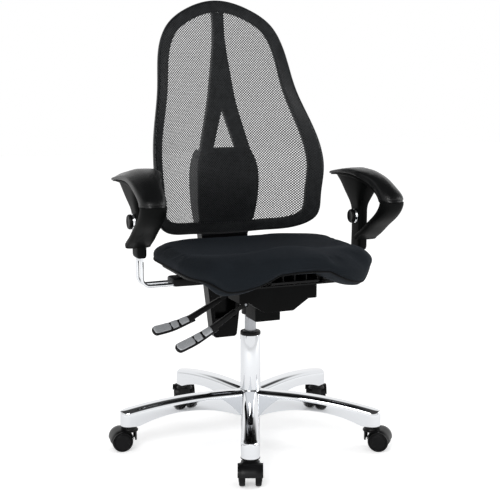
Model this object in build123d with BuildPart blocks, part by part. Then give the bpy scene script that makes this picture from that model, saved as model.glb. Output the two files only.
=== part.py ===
from build123d import *
import os
from math import cos, radians, sin, sqrt

# Swivel office chair with a mesh back. Millimetres, +Z up, origin on the floor under the
# swivel axis, and the sitter faces -Y. The sitter's right hand, with the levers, is at -X.
os.makedirs("parts", exist_ok=True)

# ---------------------------------------------------------------- driving sizes
RUN = 0.05            # radial clearance of a turning or sliding round fit
GAP = 0.3             # clearance between pieces that move past each other
SHEET = 3.0           # pressed steel

# star base
ARM_COUNT = 5
ARM_START = -112.5    # direction of the first arm, in degrees from +X
STEM_RADIUS = 309.0   # castor stems, from the swivel axis
ARM_WIDTH = 43.0
FOOT = 60.0           # underside of the hub and of the arm tips
ARCH_RISE = 26.0      # how far the arm's underside rises between hub and tip
HUB_TOP = 122.0
HUB_RADIUS = 34.0
TIP_TOP = 96.0        # arm's top at its outer end
LEVEL_END = 90.0      # the arm's top is level out to this radius
ARM_CROWN = 7.0       # rounding of the arm's top edges
SOCKET_RADIUS = 9.0
SOCKET_DEPTH = 28.0

# castors
WHEEL_RADIUS = 25.0
WHEEL_WIDTH = 16.5
WHEEL_GAP = 22.0      # between the two wheels of a castor
TRAIL = 20.0          # axle behind the stem
AXLE_RADIUS = 3.0
STEM_TOP_RADIUS = 5.5
STEM_PIN_RADIUS = 4.0
STEM_PIN_END = 30.0   # height of the stem's lower end
HOOD_WALL = 2.4
HOOD_LIP = 20.0       # height of the hood's lower edge
NECK_RADIUS = 18.0
STEM_FLANGE = 1.2
CASTER_TURNS = (0.0, 0.0, 36.0, -26.0, 0.0)   # rest angle of each castor about its stem, in degrees

# gas lift
TUBE_RADIUS = 25.0
TUBE_TAPER_RADIUS = 23.7   # at the tube's lower end
TUBE_BORE = 22.0
TUBE_BOTTOM = 50.0
TUBE_TOP = 262.0
TUBE_FLOOR = 3.0
COLLAR_RIM = 9.0
COLLAR_LENGTH = 70.0
LIFT = 110.0               # seat height range
GAS_RADIUS = 14.0
GAS_BORE = 12.0
GAS_BOTTOM = 84.0
GAS_CAP = 6.0
CONE_BOTTOM = 318.0
CONE_TOP = 345.0
CONE_TOP_RADIUS = 13.0
ROD_RADIUS = 5.0
PISTON_LENGTH = 12.0
BEARING_RADIUS = 14.0
BEARING = 10.0
CLIP = 2.5
PIN_RADIUS = 4.0
PIN_TOP = 354.0
PIN_TRAVEL = 3.0

# mechanism
HOUSING_HALF = 34.0        # half width of the steel channel
HOUSING_WALL = 4.0
HOUSING_FRONT = -150.0
HOUSING_REAR = 66.0
HOUSING_BOTTOM = 362.0
HOUSING_TOP = 395.0
BOSS_RADIUS = 22.0
BOSS_BOTTOM = 315.0
SEAT_PIVOT = (-100.0, 385.0)   # Y and Z of the seat's tilt shaft
BACK_PIVOT = (45.0, 374.0)     # Y and Z of the back's hinge pin
PIVOT_RADIUS = 5.0
TRAY_HALF = 98.0           # plastic front cover
TRAY_FRONT = -175.0
TRAY_REAR = -100.0
TRAY_TOP = 419.0
TRAY_BOTTOM = 381.0
BELLY_HALF = 36.0
BELLY_BOTTOM = 355.0
BELLY_SHOULDER = 75.0
COVER_WALL = 3.0
KEEL_HALF = 32.0           # the cover's lowest part, in front of the lift
KEEL_BOTTOM = 319.0
KEEL_FRONT = -112.0
KEEL_REAR = -45.0

# levers, on the -X side: pivot, root of the handle and tip, as X and Z
LIFT_LEVER_Y = 0.0
LIFT_LEVER = ((-46.0, 374.0), (-158.0, 316.0), (-252.0, 293.0))
LIFT_TONGUE = ((4.0, 358.8), (-14.0, 358.8))
TILT_LEVER_Y = -75.0
TILT_LEVER = ((-46.0, 357.0), (-127.0, 306.0), (-218.0, 264.0))
TILT_TONGUE = ((-37.0, 361.0),)
LEVER_BAR = 9.0            # section of the lever's bar, square
HANDLE_HALF = 13.0         # half width of a handle
HANDLE_DEPTH = 11.0
HANDLE_TURN = 38.0         # degrees that a handle's top leans forward
INLAY = 2.4
LEVER_PIN = 3.0
LUG = 3.0

# back bar and backrest
BAR_Y = 195.0              # middle of the bar's upright
BAR_WIDTH = 54.0
BAR_THICKNESS = 8.0
BAR_CORNER = 331.0         # height where the two runs of the bar would meet
BAR_BEND = 32.0
BAR_TOP = 560.0
BAR_EYE = 11.0
BACK_TRAVEL = 60.0
SLEEVE_FRONT = 172.0
SLEEVE_REAR = 210.0
SLEEVE_BOTTOM = 213.0
SLEEVE_TOP = 486.0
SLEEVE_HALF_BOTTOM = 32.0
SLEEVE_HALF_TOP = 64.0
SLEEVE_WALL = 3.0
SLEEVE_GUIDE = 372.0       # above this height the sleeve is solid around the bar
FRAME_RIM = 31.0
FRAME_DEPTH = 15.0
MESH = 1.2
SPINE_NEAR = 6.0           # spine, behind the back's front surface
SPINE_FAR = 22.0
LUMBAR_TOP = 706.0
LUMBAR_PAD = 4.5
SLAB_HALF = 236.0          # half width of the surface that the backrest is cut from

# height, Y of the middle and bend radius of the back's front surface: bent forward at the
# loins, almost flat across the shoulders
BACK_STATIONS = (
    (450, 175, 266),
    (530, 163, 266),
    (600, 153, 282),
    (650, 153, 285),
    (700, 163, 282),
    (760, 174, 290),
    (820, 183, 318),
    (900, 192, 460),
    (980, 201, 800),
    (1040, 208, 1150),
    (1110, 231, 1600),
)
# right half of the backrest's outline from the front, as X and Z
BACK_OUTLINE = (
    (0, 488),
    (100, 495),
    (184, 512),
    (209, 534),
    (219, 590),
    (225, 670),
    (214, 758),
    (186, 862),
    (164, 978),
    (141, 1020),
    (89, 1059),
    (0, 1083),
)
OUTLINE_STEPS = 16
RAIL_FLAT = 25.0           # the bottom rail is level out to here
SPINE_TOP = 1070.0
# right half of the spine, as X and share of the height from the lumbar housing to the spine's top
SPINE_EDGE = ((17, 1), (18, 0.7), (27, 0.52), (37, 0.346), (52, 0.173), (68, 0))
# right half of the lumbar housing, as X and share of the depth from its top to the sleeve
LUMBAR_EDGE = ((68, 0), (82, 0.19), (84, 0.4), (80, 0.67), (SLEEVE_HALF_TOP, 1))
SPINE_HOLE = ((0, 106), (30, 6))      # opening of the spine, above the lumbar housing
PAD_EDGE = ((64, 0), (79, 0.24), (81, 0.48), (76, 1))    # lumbar pad, from its top down

# seat
SEAT_Y = -93.0
SEAT_WIDTH = 482.0
SEAT_LENGTH = 470.0
SEAT_CORNER = 190.0        # front corners in plan
SEAT_REAR_CORNER = 125.0
SEAT_TOP = 492.0           # at the rear
SEAT_CREST = 514.0         # top of the hump in the front edge
LOBE_CREST = 502.0         # top of the lobes beside it
PLATE_BOTTOM = 420.0
PLATE_HALF = 150.0
PLATE_FRONT = -205.0
PLATE_REAR = 110.0
EAR_X = 46.0
EAR_RADIUS = 11.0
ROD_Z = 411.0              # armrest rods, under the seat
SHELL_BOTTOM = 438.5
SHELL = 5.0
SHELL_HALF = 212.0
SHELL_FRONT = -208.0
SHELL_REAR = 122.0
TONGUE_HALF = 58.0
TONGUE_FRONT = -262.0
FIN_COUNT = 5
FIN = 2.5
LOBE_X = 131.0
LOBE_BOTTOM = 417.0
HUMP_BOTTOM = 458.0
SIDE_BOTTOM = 455.0
SCREW_RADIUS = 3.0
SCREW_HEAD = 6.0

# armrests
ARM_X = 288.0
ROD_WIRE = 4.0             # radius of the armrest rods
ROD_BEND = 20.0
ROD_SPREAD = 36.0
ROD_INNER = 112.0
POST_Y = -22.0
POST_HALF_X = 12.0
POST_HALF_Y = 26.0
POST_BOTTOM = 478.0
ARM_DROP = 16.0            # the armrest on the +X side is set this much lower
STRAP = 6.0                # steel strap inside the post
STRAP_WIDTH = 30.0
STRAP_TOP = 632.0
ARM_LIFT = 70.0
ARM_REACH = 30.0
REST_HALF = 39.0           # half width of the arm pad
REST_CORNER = 29.0         # rounding of the pad's front corners in plan
PAD = 17.0
STRAP_HALF = 30.0          # half width of the bow where it meets the post
FLARE_START = 585.0        # the post widens to the pad's width above this height
SEAM = 612.0               # height of the pad's front seam
# arm pad's upper outline from the rear tip to the front seam, as Y and Z
REST_CROWN = ((112, 649), (45, 669), (-40, 685), (-112, 673), (-168, 645), (-192, SEAM))
REST_TIP_LOW = (112.0, 641.0)   # lower edge of the pad's rear tip
REST_BACK = ((26, 614), (66, 636))                 # underside between the post and the rear tip
BOW = ((-175, 583), (-118, 547), (-74, 520))       # outer face of the bow under the seam
# opening between pad, post and bow: a front view of it from the side, top edge first
WINDOW = ((-112, 645), (-156, 623), (-169, 608), (-155, 587), (-112, 559))
WINDOW_TOP = 653.0
WINDOW_LOW = 524.0
KNOB_Z = 562.0
KNOB_RADIUS = 19.0
KNOB_DEPTH = 16.0
KNOB_LOBES = 6
BOLT_RADIUS = 3.0
BOLT_END = 9.0
CLAMP_INNER = 156.0
CLAMP_OUTER = 222.0
CLAMP_BOTTOM = 404.0

arm_end = STEM_RADIUS + ARM_WIDTH / 2
wheel_inner = WHEEL_GAP / 2
wheel_outer = wheel_inner + WHEEL_WIDTH
axle_axis = Axis((TRAIL, 0, WHEEL_RADIUS), (0, 1, 0))


# ---------------------------------------------------------------- star base
with BuildPart() as arm_hollow:
    with BuildSketch(Plane.XZ):
        with BuildLine():
            ceiling = Line((HUB_RADIUS, HUB_TOP - SHEET), (LEVEL_END, HUB_TOP - SHEET))
            slope = TangentArc(ceiling @ 1, (arm_end, TIP_TOP - SHEET), tangent=ceiling % 1)
            Polyline(slope @ 1, (arm_end, 0), (HUB_RADIUS, 0), ceiling @ 0)
        make_face()
    extrude(amount=ARM_WIDTH / 2 - SHEET, both=True)
    with BuildSketch(Plane.XY):
        with Locations((STEM_RADIUS / 2, 0)):
            Rectangle(STEM_RADIUS, ARM_WIDTH)
        with Locations((STEM_RADIUS, 0)):
            Circle(ARM_WIDTH / 2 - SHEET)
            Circle(SOCKET_RADIUS, mode=Mode.SUBTRACT)
    extrude(amount=HUB_TOP, mode=Mode.INTERSECT)

with BuildPart() as base_arm:
    with BuildSketch(Plane.XZ):
        with BuildLine():
            crest = Line((0, HUB_TOP), (LEVEL_END, HUB_TOP))
            slope = TangentArc(crest @ 1, (arm_end, TIP_TOP), tangent=crest % 1)
            foot_start = STEM_RADIUS - ARM_WIDTH / 2
            Polyline(slope @ 1, (arm_end, FOOT), (foot_start, FOOT))
            arch_middle = (HUB_RADIUS + foot_start) / 2
            ThreePointArc((foot_start, FOOT), (arch_middle, FOOT + ARCH_RISE), (HUB_RADIUS, FOOT))
            Polyline((HUB_RADIUS, FOOT), (0, FOOT), crest @ 0)
        make_face()
    extrude(amount=ARM_WIDTH / 2, both=True)
    with BuildSketch(Plane.XY):
        with Locations((STEM_RADIUS / 2, 0)):
            Rectangle(STEM_RADIUS, ARM_WIDTH)
        with Locations((STEM_RADIUS, 0)):
            Circle(ARM_WIDTH / 2)
    extrude(amount=HUB_TOP, mode=Mode.INTERSECT)
    rim_edges = base_arm.edges().filter_by(
        lambda e: e.center().Z > TIP_TOP - 2 and abs(e.center().Y) + e.center().X > 3 and not e.is_closed
        and not (abs(e.center().Y) < 1 and e.center().X < STEM_RADIUS)
    )
    fillet(rim_edges, radius=ARM_CROWN)
    add(arm_hollow.part, mode=Mode.SUBTRACT)
    with BuildSketch(Plane.XY.offset(FOOT)):
        with Locations((STEM_RADIUS, 0)):
            Circle(STEM_TOP_RADIUS)
    extrude(amount=SOCKET_DEPTH, mode=Mode.SUBTRACT)

with BuildPart() as star_base:
    with PolarLocations(0, ARM_COUNT, start_angle=ARM_START):
        add(base_arm.part)
    with BuildSketch(Plane.XY.offset(FOOT)):
        Circle(HUB_RADIUS)
    extrude(amount=HUB_TOP - FOOT)
    with BuildSketch(Plane.XZ):
        with BuildLine():
            taper_drop = HUB_TOP + SHEET - TUBE_BOTTOM
            Polyline(
                (0, TUBE_BOTTOM), (TUBE_TAPER_RADIUS, TUBE_BOTTOM), (TUBE_RADIUS, TUBE_BOTTOM + taper_drop),
                (0, TUBE_BOTTOM + taper_drop), close=True,
            )
        make_face()
    revolve(axis=Axis.Z, mode=Mode.SUBTRACT)
star_base.part.label = "star_base"
export_step(star_base.part, "parts/star_base.step")

# ---------------------------------------------------------------- castors
stem_places = []
for turn in CASTER_TURNS:
    heading = ARM_START + 360 / ARM_COUNT * len(stem_places)
    stem_x = STEM_RADIUS * cos(radians(heading))
    stem_y = STEM_RADIUS * sin(radians(heading))
    stem_places.append(Location((stem_x, stem_y, 0), (0, 0, heading + turn)))
neck_top = FOOT - STEM_FLANGE - GAP

with BuildPart() as stem:
    with BuildSketch(Plane.XZ):
        with BuildLine():
            Polyline(
                (0, STEM_PIN_END), (STEM_PIN_RADIUS, STEM_PIN_END), (STEM_PIN_RADIUS, FOOT - STEM_FLANGE),
                (SOCKET_RADIUS, FOOT - STEM_FLANGE), (SOCKET_RADIUS, FOOT), (STEM_TOP_RADIUS, FOOT),
                (STEM_TOP_RADIUS, FOOT + SOCKET_DEPTH - 1), (0, FOOT + SOCKET_DEPTH - 1), close=True,
            )
        make_face()
    revolve(axis=Axis.Z)

with BuildPart() as caster_stems:
    with Locations(*stem_places):
        add(stem.part)
caster_stems.part.label = "caster_stems"
export_step(caster_stems.part, "parts/caster_stems.step")

with BuildPart() as hood:
    hood_radius = WHEEL_RADIUS + 1 + HOOD_WALL
    with BuildSketch(Plane.XZ):
        with Locations((TRAIL, WHEEL_RADIUS)):
            Circle(hood_radius)
        with Locations((TRAIL, HOOD_LIP - hood_radius)):
            Rectangle(4 * hood_radius, 2 * hood_radius, mode=Mode.SUBTRACT)
    extrude(amount=wheel_outer, both=True)
    with BuildSketch(Plane.XY.offset(WHEEL_RADIUS + 12)):
        Circle(NECK_RADIUS)
    extrude(amount=neck_top - WHEEL_RADIUS - 12)
    with BuildSketch(Plane.XZ.offset(wheel_inner - GAP)):
        with Locations((TRAIL, WHEEL_RADIUS)):
            Circle(WHEEL_RADIUS + 1)
    extrude(amount=wheel_outer, mode=Mode.SUBTRACT)
    with BuildSketch(Plane.XZ.offset(GAP - wheel_inner)):
        with Locations((TRAIL, WHEEL_RADIUS)):
            Circle(WHEEL_RADIUS + 1)
    extrude(amount=-wheel_outer, mode=Mode.SUBTRACT)
    with BuildSketch(Plane.XZ):
        with Locations((TRAIL, WHEEL_RADIUS)):
            Circle(3 * AXLE_RADIUS)
    extrude(amount=wheel_inner - GAP, both=True)
    with BuildSketch(Plane.XZ):
        with Locations((TRAIL, WHEEL_RADIUS)):
            Circle(AXLE_RADIUS)
    extrude(amount=wheel_inner, both=True, mode=Mode.SUBTRACT)
    with BuildSketch(Plane.XY.offset(STEM_PIN_END - GAP)):
        Circle(STEM_PIN_RADIUS + RUN)
    extrude(amount=FOOT, mode=Mode.SUBTRACT)

with BuildPart() as axle:
    with BuildSketch(Plane.XZ):
        with Locations((TRAIL, WHEEL_RADIUS)):
            Circle(AXLE_RADIUS)
    extrude(amount=wheel_outer - 3.5, both=True)

with BuildPart() as wheel:
    with BuildSketch(Plane.XY.offset(WHEEL_RADIUS)):
        with BuildLine():
            bore = TRAIL + AXLE_RADIUS + RUN
            tread = TRAIL + WHEEL_RADIUS
            Polyline(
                (bore, wheel_inner), (tread, wheel_inner), (tread, wheel_outer - 2), (tread - 3, wheel_outer - 2),
                (tread - 3, wheel_outer), (TRAIL, wheel_outer), (TRAIL, wheel_outer - 3), (bore, wheel_outer - 3),
                close=True,
            )
        make_face()
    revolve(axis=axle_axis)

for number, place in enumerate(stem_places, 1):
    with BuildPart() as caster_hood:
        with Locations(place):
            add(hood.part)
    caster_hood.part.label = f"caster_hood_{number}"
    export_step(caster_hood.part, f"parts/caster_hood_{number}.step")
    with BuildPart() as caster_axle:
        with Locations(place):
            add(axle.part)
    caster_axle.part.label = f"caster_axle_{number}"
    export_step(caster_axle.part, f"parts/caster_axle_{number}.step")
    with BuildPart() as caster_wheel_a:
        with Locations(place):
            add(wheel.part)
    caster_wheel_a.part.label = f"caster_wheel_{number}a"
    export_step(caster_wheel_a.part, f"parts/caster_wheel_{number}a.step")
    with BuildPart() as caster_wheel_b:
        with Locations(place):
            add(mirror(wheel.part, about=Plane.XZ, mode=Mode.PRIVATE))
    caster_wheel_b.part.label = f"caster_wheel_{number}b"
    export_step(caster_wheel_b.part, f"parts/caster_wheel_{number}b.step")

# ---------------------------------------------------------------- gas lift
hub_seat = HUB_TOP + SHEET
with BuildPart() as column_tube:
    with BuildSketch(Plane.XZ):
        with BuildLine():
            Polyline(
                (ROD_RADIUS + 0.5, TUBE_BOTTOM), (TUBE_TAPER_RADIUS, TUBE_BOTTOM), (TUBE_RADIUS, hub_seat),
                (TUBE_RADIUS, TUBE_TOP), (TUBE_BORE, TUBE_TOP), (TUBE_BORE, TUBE_BOTTOM + TUBE_FLOOR),
                (ROD_RADIUS + 0.5, TUBE_BOTTOM + TUBE_FLOOR), close=True,
            )
        make_face()
    revolve(axis=Axis.Z)
column_tube.part.label = "column_tube"
export_step(column_tube.part, "parts/column_tube.step")

with BuildPart() as column_collar:
    with BuildSketch(Plane.XZ):
        with BuildLine():
            collar_bore = GAS_RADIUS + RUN
            Polyline(
                (collar_bore, TUBE_TOP - COLLAR_LENGTH), (TUBE_BORE, TUBE_TOP - COLLAR_LENGTH),
                (TUBE_BORE, TUBE_TOP), (TUBE_RADIUS, TUBE_TOP), (TUBE_RADIUS, TUBE_TOP + COLLAR_RIM - 2),
                (TUBE_RADIUS - 2, TUBE_TOP + COLLAR_RIM), (collar_bore, TUBE_TOP + COLLAR_RIM), close=True,
            )
        make_face()
    revolve(axis=Axis.Z)
column_collar.part.label = "column_collar"
export_step(column_collar.part, "parts/column_collar.step")

bearing_base = TUBE_BOTTOM + TUBE_FLOOR
with BuildPart() as thrust_bearing:
    with BuildSketch(Plane.XY.offset(bearing_base)):
        Circle(BEARING_RADIUS)
        Circle(ROD_RADIUS + 0.5, mode=Mode.SUBTRACT)
    extrude(amount=BEARING)
thrust_bearing.part.label = "thrust_bearing"
export_step(thrust_bearing.part, "parts/thrust_bearing.step")

piston_bottom = GAS_BOTTOM + GAS_CAP + LIFT + 2
rod_end = TUBE_BOTTOM - GAP - CLIP - 2
shoulder = bearing_base + BEARING
with BuildPart() as piston_rod:
    with BuildSketch(Plane.XZ):
        with BuildLine():
            Polyline(
                (0, rod_end), (ROD_RADIUS, rod_end), (ROD_RADIUS, rod_end + 2), (ROD_RADIUS - 1, rod_end + 2),
                (ROD_RADIUS - 1, rod_end + 2 + CLIP), (ROD_RADIUS, rod_end + 2 + CLIP), (ROD_RADIUS, shoulder),
                (ROD_RADIUS + 4, shoulder), (ROD_RADIUS + 4, shoulder + 6), (ROD_RADIUS, shoulder + 6),
                (ROD_RADIUS, piston_bottom), (GAS_BORE - RUN, piston_bottom),
                (GAS_BORE - RUN, piston_bottom + PISTON_LENGTH), (0, piston_bottom + PISTON_LENGTH), close=True,
            )
        make_face()
    revolve(axis=Axis.Z)
piston_rod.part.label = "piston_rod"
export_step(piston_rod.part, "parts/piston_rod.step")

with BuildPart() as retaining_clip:
    with BuildSketch(Plane.XY.offset(rod_end + 2)):
        Circle(ROD_RADIUS + 4)
        Circle(ROD_RADIUS - 1, mode=Mode.SUBTRACT)
        with Locations((ROD_RADIUS + 2, 0)):
            Rectangle(2 * ROD_RADIUS, ROD_RADIUS, mode=Mode.SUBTRACT)
    extrude(amount=CLIP)
retaining_clip.part.label = "retaining_clip"
export_step(retaining_clip.part, "parts/retaining_clip.step")

valve_seat = CONE_TOP - 8
with BuildPart() as gas_cylinder:
    with BuildSketch(Plane.XZ):
        with BuildLine():
            Polyline(
                (ROD_RADIUS + RUN, GAS_BOTTOM), (GAS_RADIUS, GAS_BOTTOM), (GAS_RADIUS, CONE_BOTTOM),
                (CONE_TOP_RADIUS, CONE_TOP), (PIN_RADIUS + RUN, CONE_TOP), (PIN_RADIUS + RUN, valve_seat - 8),
                (GAS_BORE, valve_seat - 8), (GAS_BORE, GAS_BOTTOM + GAS_CAP),
                (ROD_RADIUS + RUN, GAS_BOTTOM + GAS_CAP), close=True,
            )
        make_face()
    revolve(axis=Axis.Z)
gas_cylinder.part.label = "gas_cylinder"
export_step(gas_cylinder.part, "parts/gas_cylinder.step")

with BuildPart() as release_pin:
    with BuildSketch(Plane.XY.offset(valve_seat - 4)):
        Circle(PIN_RADIUS)
    extrude(amount=PIN_TOP - valve_seat + 4)
    chamfer(release_pin.edges().group_by(Axis.Z)[-1], 1)
release_pin.part.label = "release_pin"
export_step(release_pin.part, "parts/release_pin.step")

# ---------------------------------------------------------------- mechanism
housing_length = HOUSING_REAR - HOUSING_FRONT
housing_middle = (HOUSING_REAR + HOUSING_FRONT) / 2
lever_lugs = ((LIFT_LEVER_Y, LIFT_LEVER[0]), (TILT_LEVER_Y, TILT_LEVER[0]))
lug_half = LEVER_BAR / 2 + GAP
with BuildPart() as mechanism_housing:
    with BuildSketch(Plane.XY.offset(HOUSING_BOTTOM)):
        with Locations((0, housing_middle)):
            Rectangle(2 * HOUSING_HALF, housing_length)
    extrude(amount=HOUSING_TOP - HOUSING_BOTTOM)
    with BuildSketch(Plane.XY.offset(HOUSING_BOTTOM)):
        with Locations((0, housing_middle + HOUSING_WALL)):
            Rectangle(2 * (HOUSING_HALF - HOUSING_WALL), housing_length)
    extrude(amount=HOUSING_TOP - HOUSING_BOTTOM - SHEET, mode=Mode.SUBTRACT)
    with BuildSketch(Plane.XY.offset(BOSS_BOTTOM)):
        Circle(BOSS_RADIUS)
    extrude(amount=HOUSING_TOP - BOSS_BOTTOM - SHEET)
    with BuildSketch(Plane.XZ):
        with BuildLine():
            cone_mouth = GAS_RADIUS + RUN
            Polyline(
                (0, BOSS_BOTTOM), (cone_mouth, BOSS_BOTTOM), (cone_mouth, CONE_BOTTOM),
                (CONE_TOP_RADIUS + RUN, CONE_TOP), (BOSS_RADIUS - 6, CONE_TOP),
                (BOSS_RADIUS - 6, HOUSING_TOP - SHEET), (0, HOUSING_TOP - SHEET), close=True,
            )
        make_face()
    revolve(axis=Axis.Z, mode=Mode.SUBTRACT)
    # side window for the lift lever, through the boss and the channel's wall
    with BuildSketch(Plane.YZ):
        with Locations((LIFT_LEVER_Y, CONE_TOP + 22)):
            Rectangle(2 * lug_half + 2, 34)
    extrude(amount=-HOUSING_HALF - 1, mode=Mode.SUBTRACT)
    # lugs that hold the lever pins
    for lug_y, (pin_x, pin_z) in lever_lugs:
        for side in (-1, 1):
            with BuildSketch(Plane.XZ.offset(-(lug_y + side * (lug_half + LUG / 2)))):
                with Locations((pin_x, pin_z)):
                    Circle(2 * LEVER_PIN + 1)
                with Locations(((pin_x - HOUSING_HALF + 1) / 2, pin_z + 5)):
                    Rectangle(1 - HOUSING_HALF - pin_x, 4 * LEVER_PIN)
            extrude(amount=LUG / 2, both=True)
        with BuildSketch(Plane.XZ.offset(-lug_y)):
            with Locations((pin_x, pin_z)):
                Circle(LEVER_PIN)
        extrude(amount=2 * LUG + lug_half, both=True, mode=Mode.SUBTRACT)
    for pivot_y, pivot_z in (SEAT_PIVOT, BACK_PIVOT):
        with BuildSketch(Plane.YZ):
            with Locations((pivot_y, pivot_z)):
                Circle(PIVOT_RADIUS)
        extrude(amount=HOUSING_HALF + 1, both=True, mode=Mode.SUBTRACT)
mechanism_housing.part.label = "mechanism_housing"
export_step(mechanism_housing.part, "parts/mechanism_housing.step")

with BuildPart() as mechanism_cover:
    with BuildSketch(Plane.XZ.offset(-TRAY_REAR)):
        with BuildLine():
            Polyline(
                (0, BELLY_BOTTOM), (BELLY_HALF, BELLY_BOTTOM), (BELLY_SHOULDER, TRAY_BOTTOM),
                (TRAY_HALF, TRAY_BOTTOM), (TRAY_HALF, TRAY_TOP), (0, TRAY_TOP),
            )
            mirror(about=Plane.YZ)
        make_face()
    extrude(amount=TRAY_REAR - TRAY_FRONT)
    fillet(mechanism_cover.edges().filter_by(Axis.Z).group_by(Axis.Y)[0], radius=6)
    keel_depth = KEEL_REAR - KEEL_FRONT
    with BuildSketch(Plane.XY.offset(KEEL_BOTTOM)):
        with Locations((0, (KEEL_FRONT + KEEL_REAR) / 2)):
            RectangleRounded(2 * KEEL_HALF, keel_depth, 5)
    extrude(amount=HOUSING_BOTTOM - KEEL_BOTTOM)
    with BuildSketch(Plane.XZ.offset(-TRAY_REAR - KEEL_HALF)):
        with BuildLine():
            Polyline(
                (0, BELLY_BOTTOM + COVER_WALL), (BELLY_HALF - 1, BELLY_BOTTOM + COVER_WALL),
                (BELLY_SHOULDER - 1, TRAY_BOTTOM + COVER_WALL), (TRAY_HALF - COVER_WALL, TRAY_BOTTOM + COVER_WALL),
                (TRAY_HALF - COVER_WALL, TRAY_TOP), (0, TRAY_TOP),
            )
            mirror(about=Plane.YZ)
        make_face()
    extrude(amount=TRAY_REAR + KEEL_HALF - TRAY_FRONT - COVER_WALL, mode=Mode.SUBTRACT)
    with BuildSketch(Plane.XY.offset(KEEL_BOTTOM + COVER_WALL)):
        with Locations((0, (KEEL_FRONT + KEEL_REAR) / 2)):
            RectangleRounded(2 * (KEEL_HALF - COVER_WALL), keel_depth - 2 * COVER_WALL, 3)
    extrude(amount=HOUSING_BOTTOM - KEEL_BOTTOM, mode=Mode.SUBTRACT)
mechanism_cover.part.label = "mechanism_cover"
export_step(mechanism_cover.part, "parts/mechanism_cover.step")

with BuildPart() as pivot_shafts:
    for (pivot_y, pivot_z), half in ((SEAT_PIVOT, EAR_X + 8), (BACK_PIVOT, HOUSING_HALF + 4)):
        with BuildSketch(Plane.YZ):
            with Locations((pivot_y, pivot_z)):
                Circle(PIVOT_RADIUS)
        extrude(amount=half, both=True)
    for pin_y, (pin_x, pin_z) in lever_lugs:
        with BuildSketch(Plane.XZ.offset(-pin_y)):
            with Locations((pin_x, pin_z)):
                Circle(LEVER_PIN)
        extrude(amount=lug_half + LUG + 1, both=True)
pivot_shafts.part.label = "pivot_shafts"
export_step(pivot_shafts.part, "parts/pivot_shafts.step")

# ---------------------------------------------------------------- levers
levers = (
    ("lift_lever", LIFT_LEVER_Y, LIFT_TONGUE, LIFT_LEVER),
    ("tilt_lever", TILT_LEVER_Y, TILT_TONGUE, TILT_LEVER),
)
for lever_name, lever_y, tongue, (pivot, knee, tip) in levers:
    middle = ((knee[0] + tip[0]) / 2, (knee[1] + tip[1]) / 2 - 6)
    grip_axis = Axis((knee[0], lever_y, knee[1]), (tip[0] - knee[0], 0, tip[1] - knee[1]))
    lever_plane = Plane.XZ.offset(-lever_y)
    grip_start = (knee[0] + 10, knee[1] + 7)
    with BuildPart() as lever_arm:
        with BuildSketch(lever_plane):
            with BuildLine():
                Polyline(*tongue, pivot, knee)
            trace(line_width=LEVER_BAR)
            with Locations(pivot):
                Circle(2 * LEVER_PIN)
        extrude(amount=LEVER_BAR / 2, both=True)
        with BuildSketch(lever_plane):
            with Locations(pivot):
                Circle(LEVER_PIN + RUN)
        extrude(amount=LEVER_BAR, both=True, mode=Mode.SUBTRACT)
    lever_arm.part.label = lever_name + "_arm"
    export_step(lever_arm.part, f"parts/{lever_name}_arm.step")

    with BuildPart() as handle_blank:
        with BuildSketch(lever_plane):
            with BuildLine():
                top = Spline(grip_start, (middle[0], middle[1] + 4), (tip[0], tip[1] + 3))
                nose = ThreePointArc(top @ 1, (tip[0] - 5, tip[1] - 1), (tip[0] + 1, tip[1] - 5))
                under = Spline(nose @ 1, (middle[0], middle[1] + 4 - HANDLE_DEPTH), (knee[0] + 4, knee[1] - 9))
                Line(under @ 1, top @ 0)
            make_face()
        extrude(amount=HANDLE_HALF, both=True)
    with BuildPart() as lever_handle:
        add(handle_blank.part.rotate(grip_axis, -HANDLE_TURN))
        add(lever_arm.part, mode=Mode.SUBTRACT)
    lever_handle.part.label = lever_name + "_handle"
    export_step(lever_handle.part, f"parts/{lever_name}_handle.step")

    with BuildPart() as inlay_blank:
        with BuildSketch(lever_plane):
            with BuildLine():
                top = Spline(grip_start, (middle[0], middle[1] + 4), (tip[0], tip[1] + 3))
                raised = Spline(
                    (tip[0], tip[1] + 3 + INLAY), (middle[0], middle[1] + 4 + INLAY),
                    (grip_start[0], grip_start[1] + INLAY),
                )
                Line(top @ 1, raised @ 0)
                Line(raised @ 1, top @ 0)
            make_face()
        extrude(amount=HANDLE_HALF - 3, both=True)
    with BuildPart() as lever_inlay:
        add(inlay_blank.part.rotate(grip_axis, -HANDLE_TURN))
        add(lever_arm.part, mode=Mode.SUBTRACT)
    lever_inlay.part.label = lever_name + "_inlay"
    export_step(lever_inlay.part, f"parts/{lever_name}_inlay.step")

# ---------------------------------------------------------------- back bar
with BuildPart() as back_bar:
    with BuildLine():
        bar_path = FilletPolyline(
            (0, *BACK_PIVOT), (0, BAR_Y, BAR_CORNER), (0, BAR_Y, BAR_TOP), radius=BAR_BEND
        )
    with BuildSketch(Plane(origin=bar_path @ 0, x_dir=(1, 0, 0), z_dir=bar_path % 0)):
        Rectangle(BAR_WIDTH, BAR_THICKNESS)
    sweep()
    with BuildSketch(Plane.YZ):
        with Locations(BACK_PIVOT):
            Circle(BAR_EYE)
    extrude(amount=BAR_WIDTH / 2, both=True)
    with BuildSketch(Plane.YZ):
        with Locations(BACK_PIVOT):
            Circle(PIVOT_RADIUS + RUN)
    extrude(amount=BAR_WIDTH, both=True, mode=Mode.SUBTRACT)
back_bar.part.label = "back_bar"
export_step(back_bar.part, "parts/back_bar.step")


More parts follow.
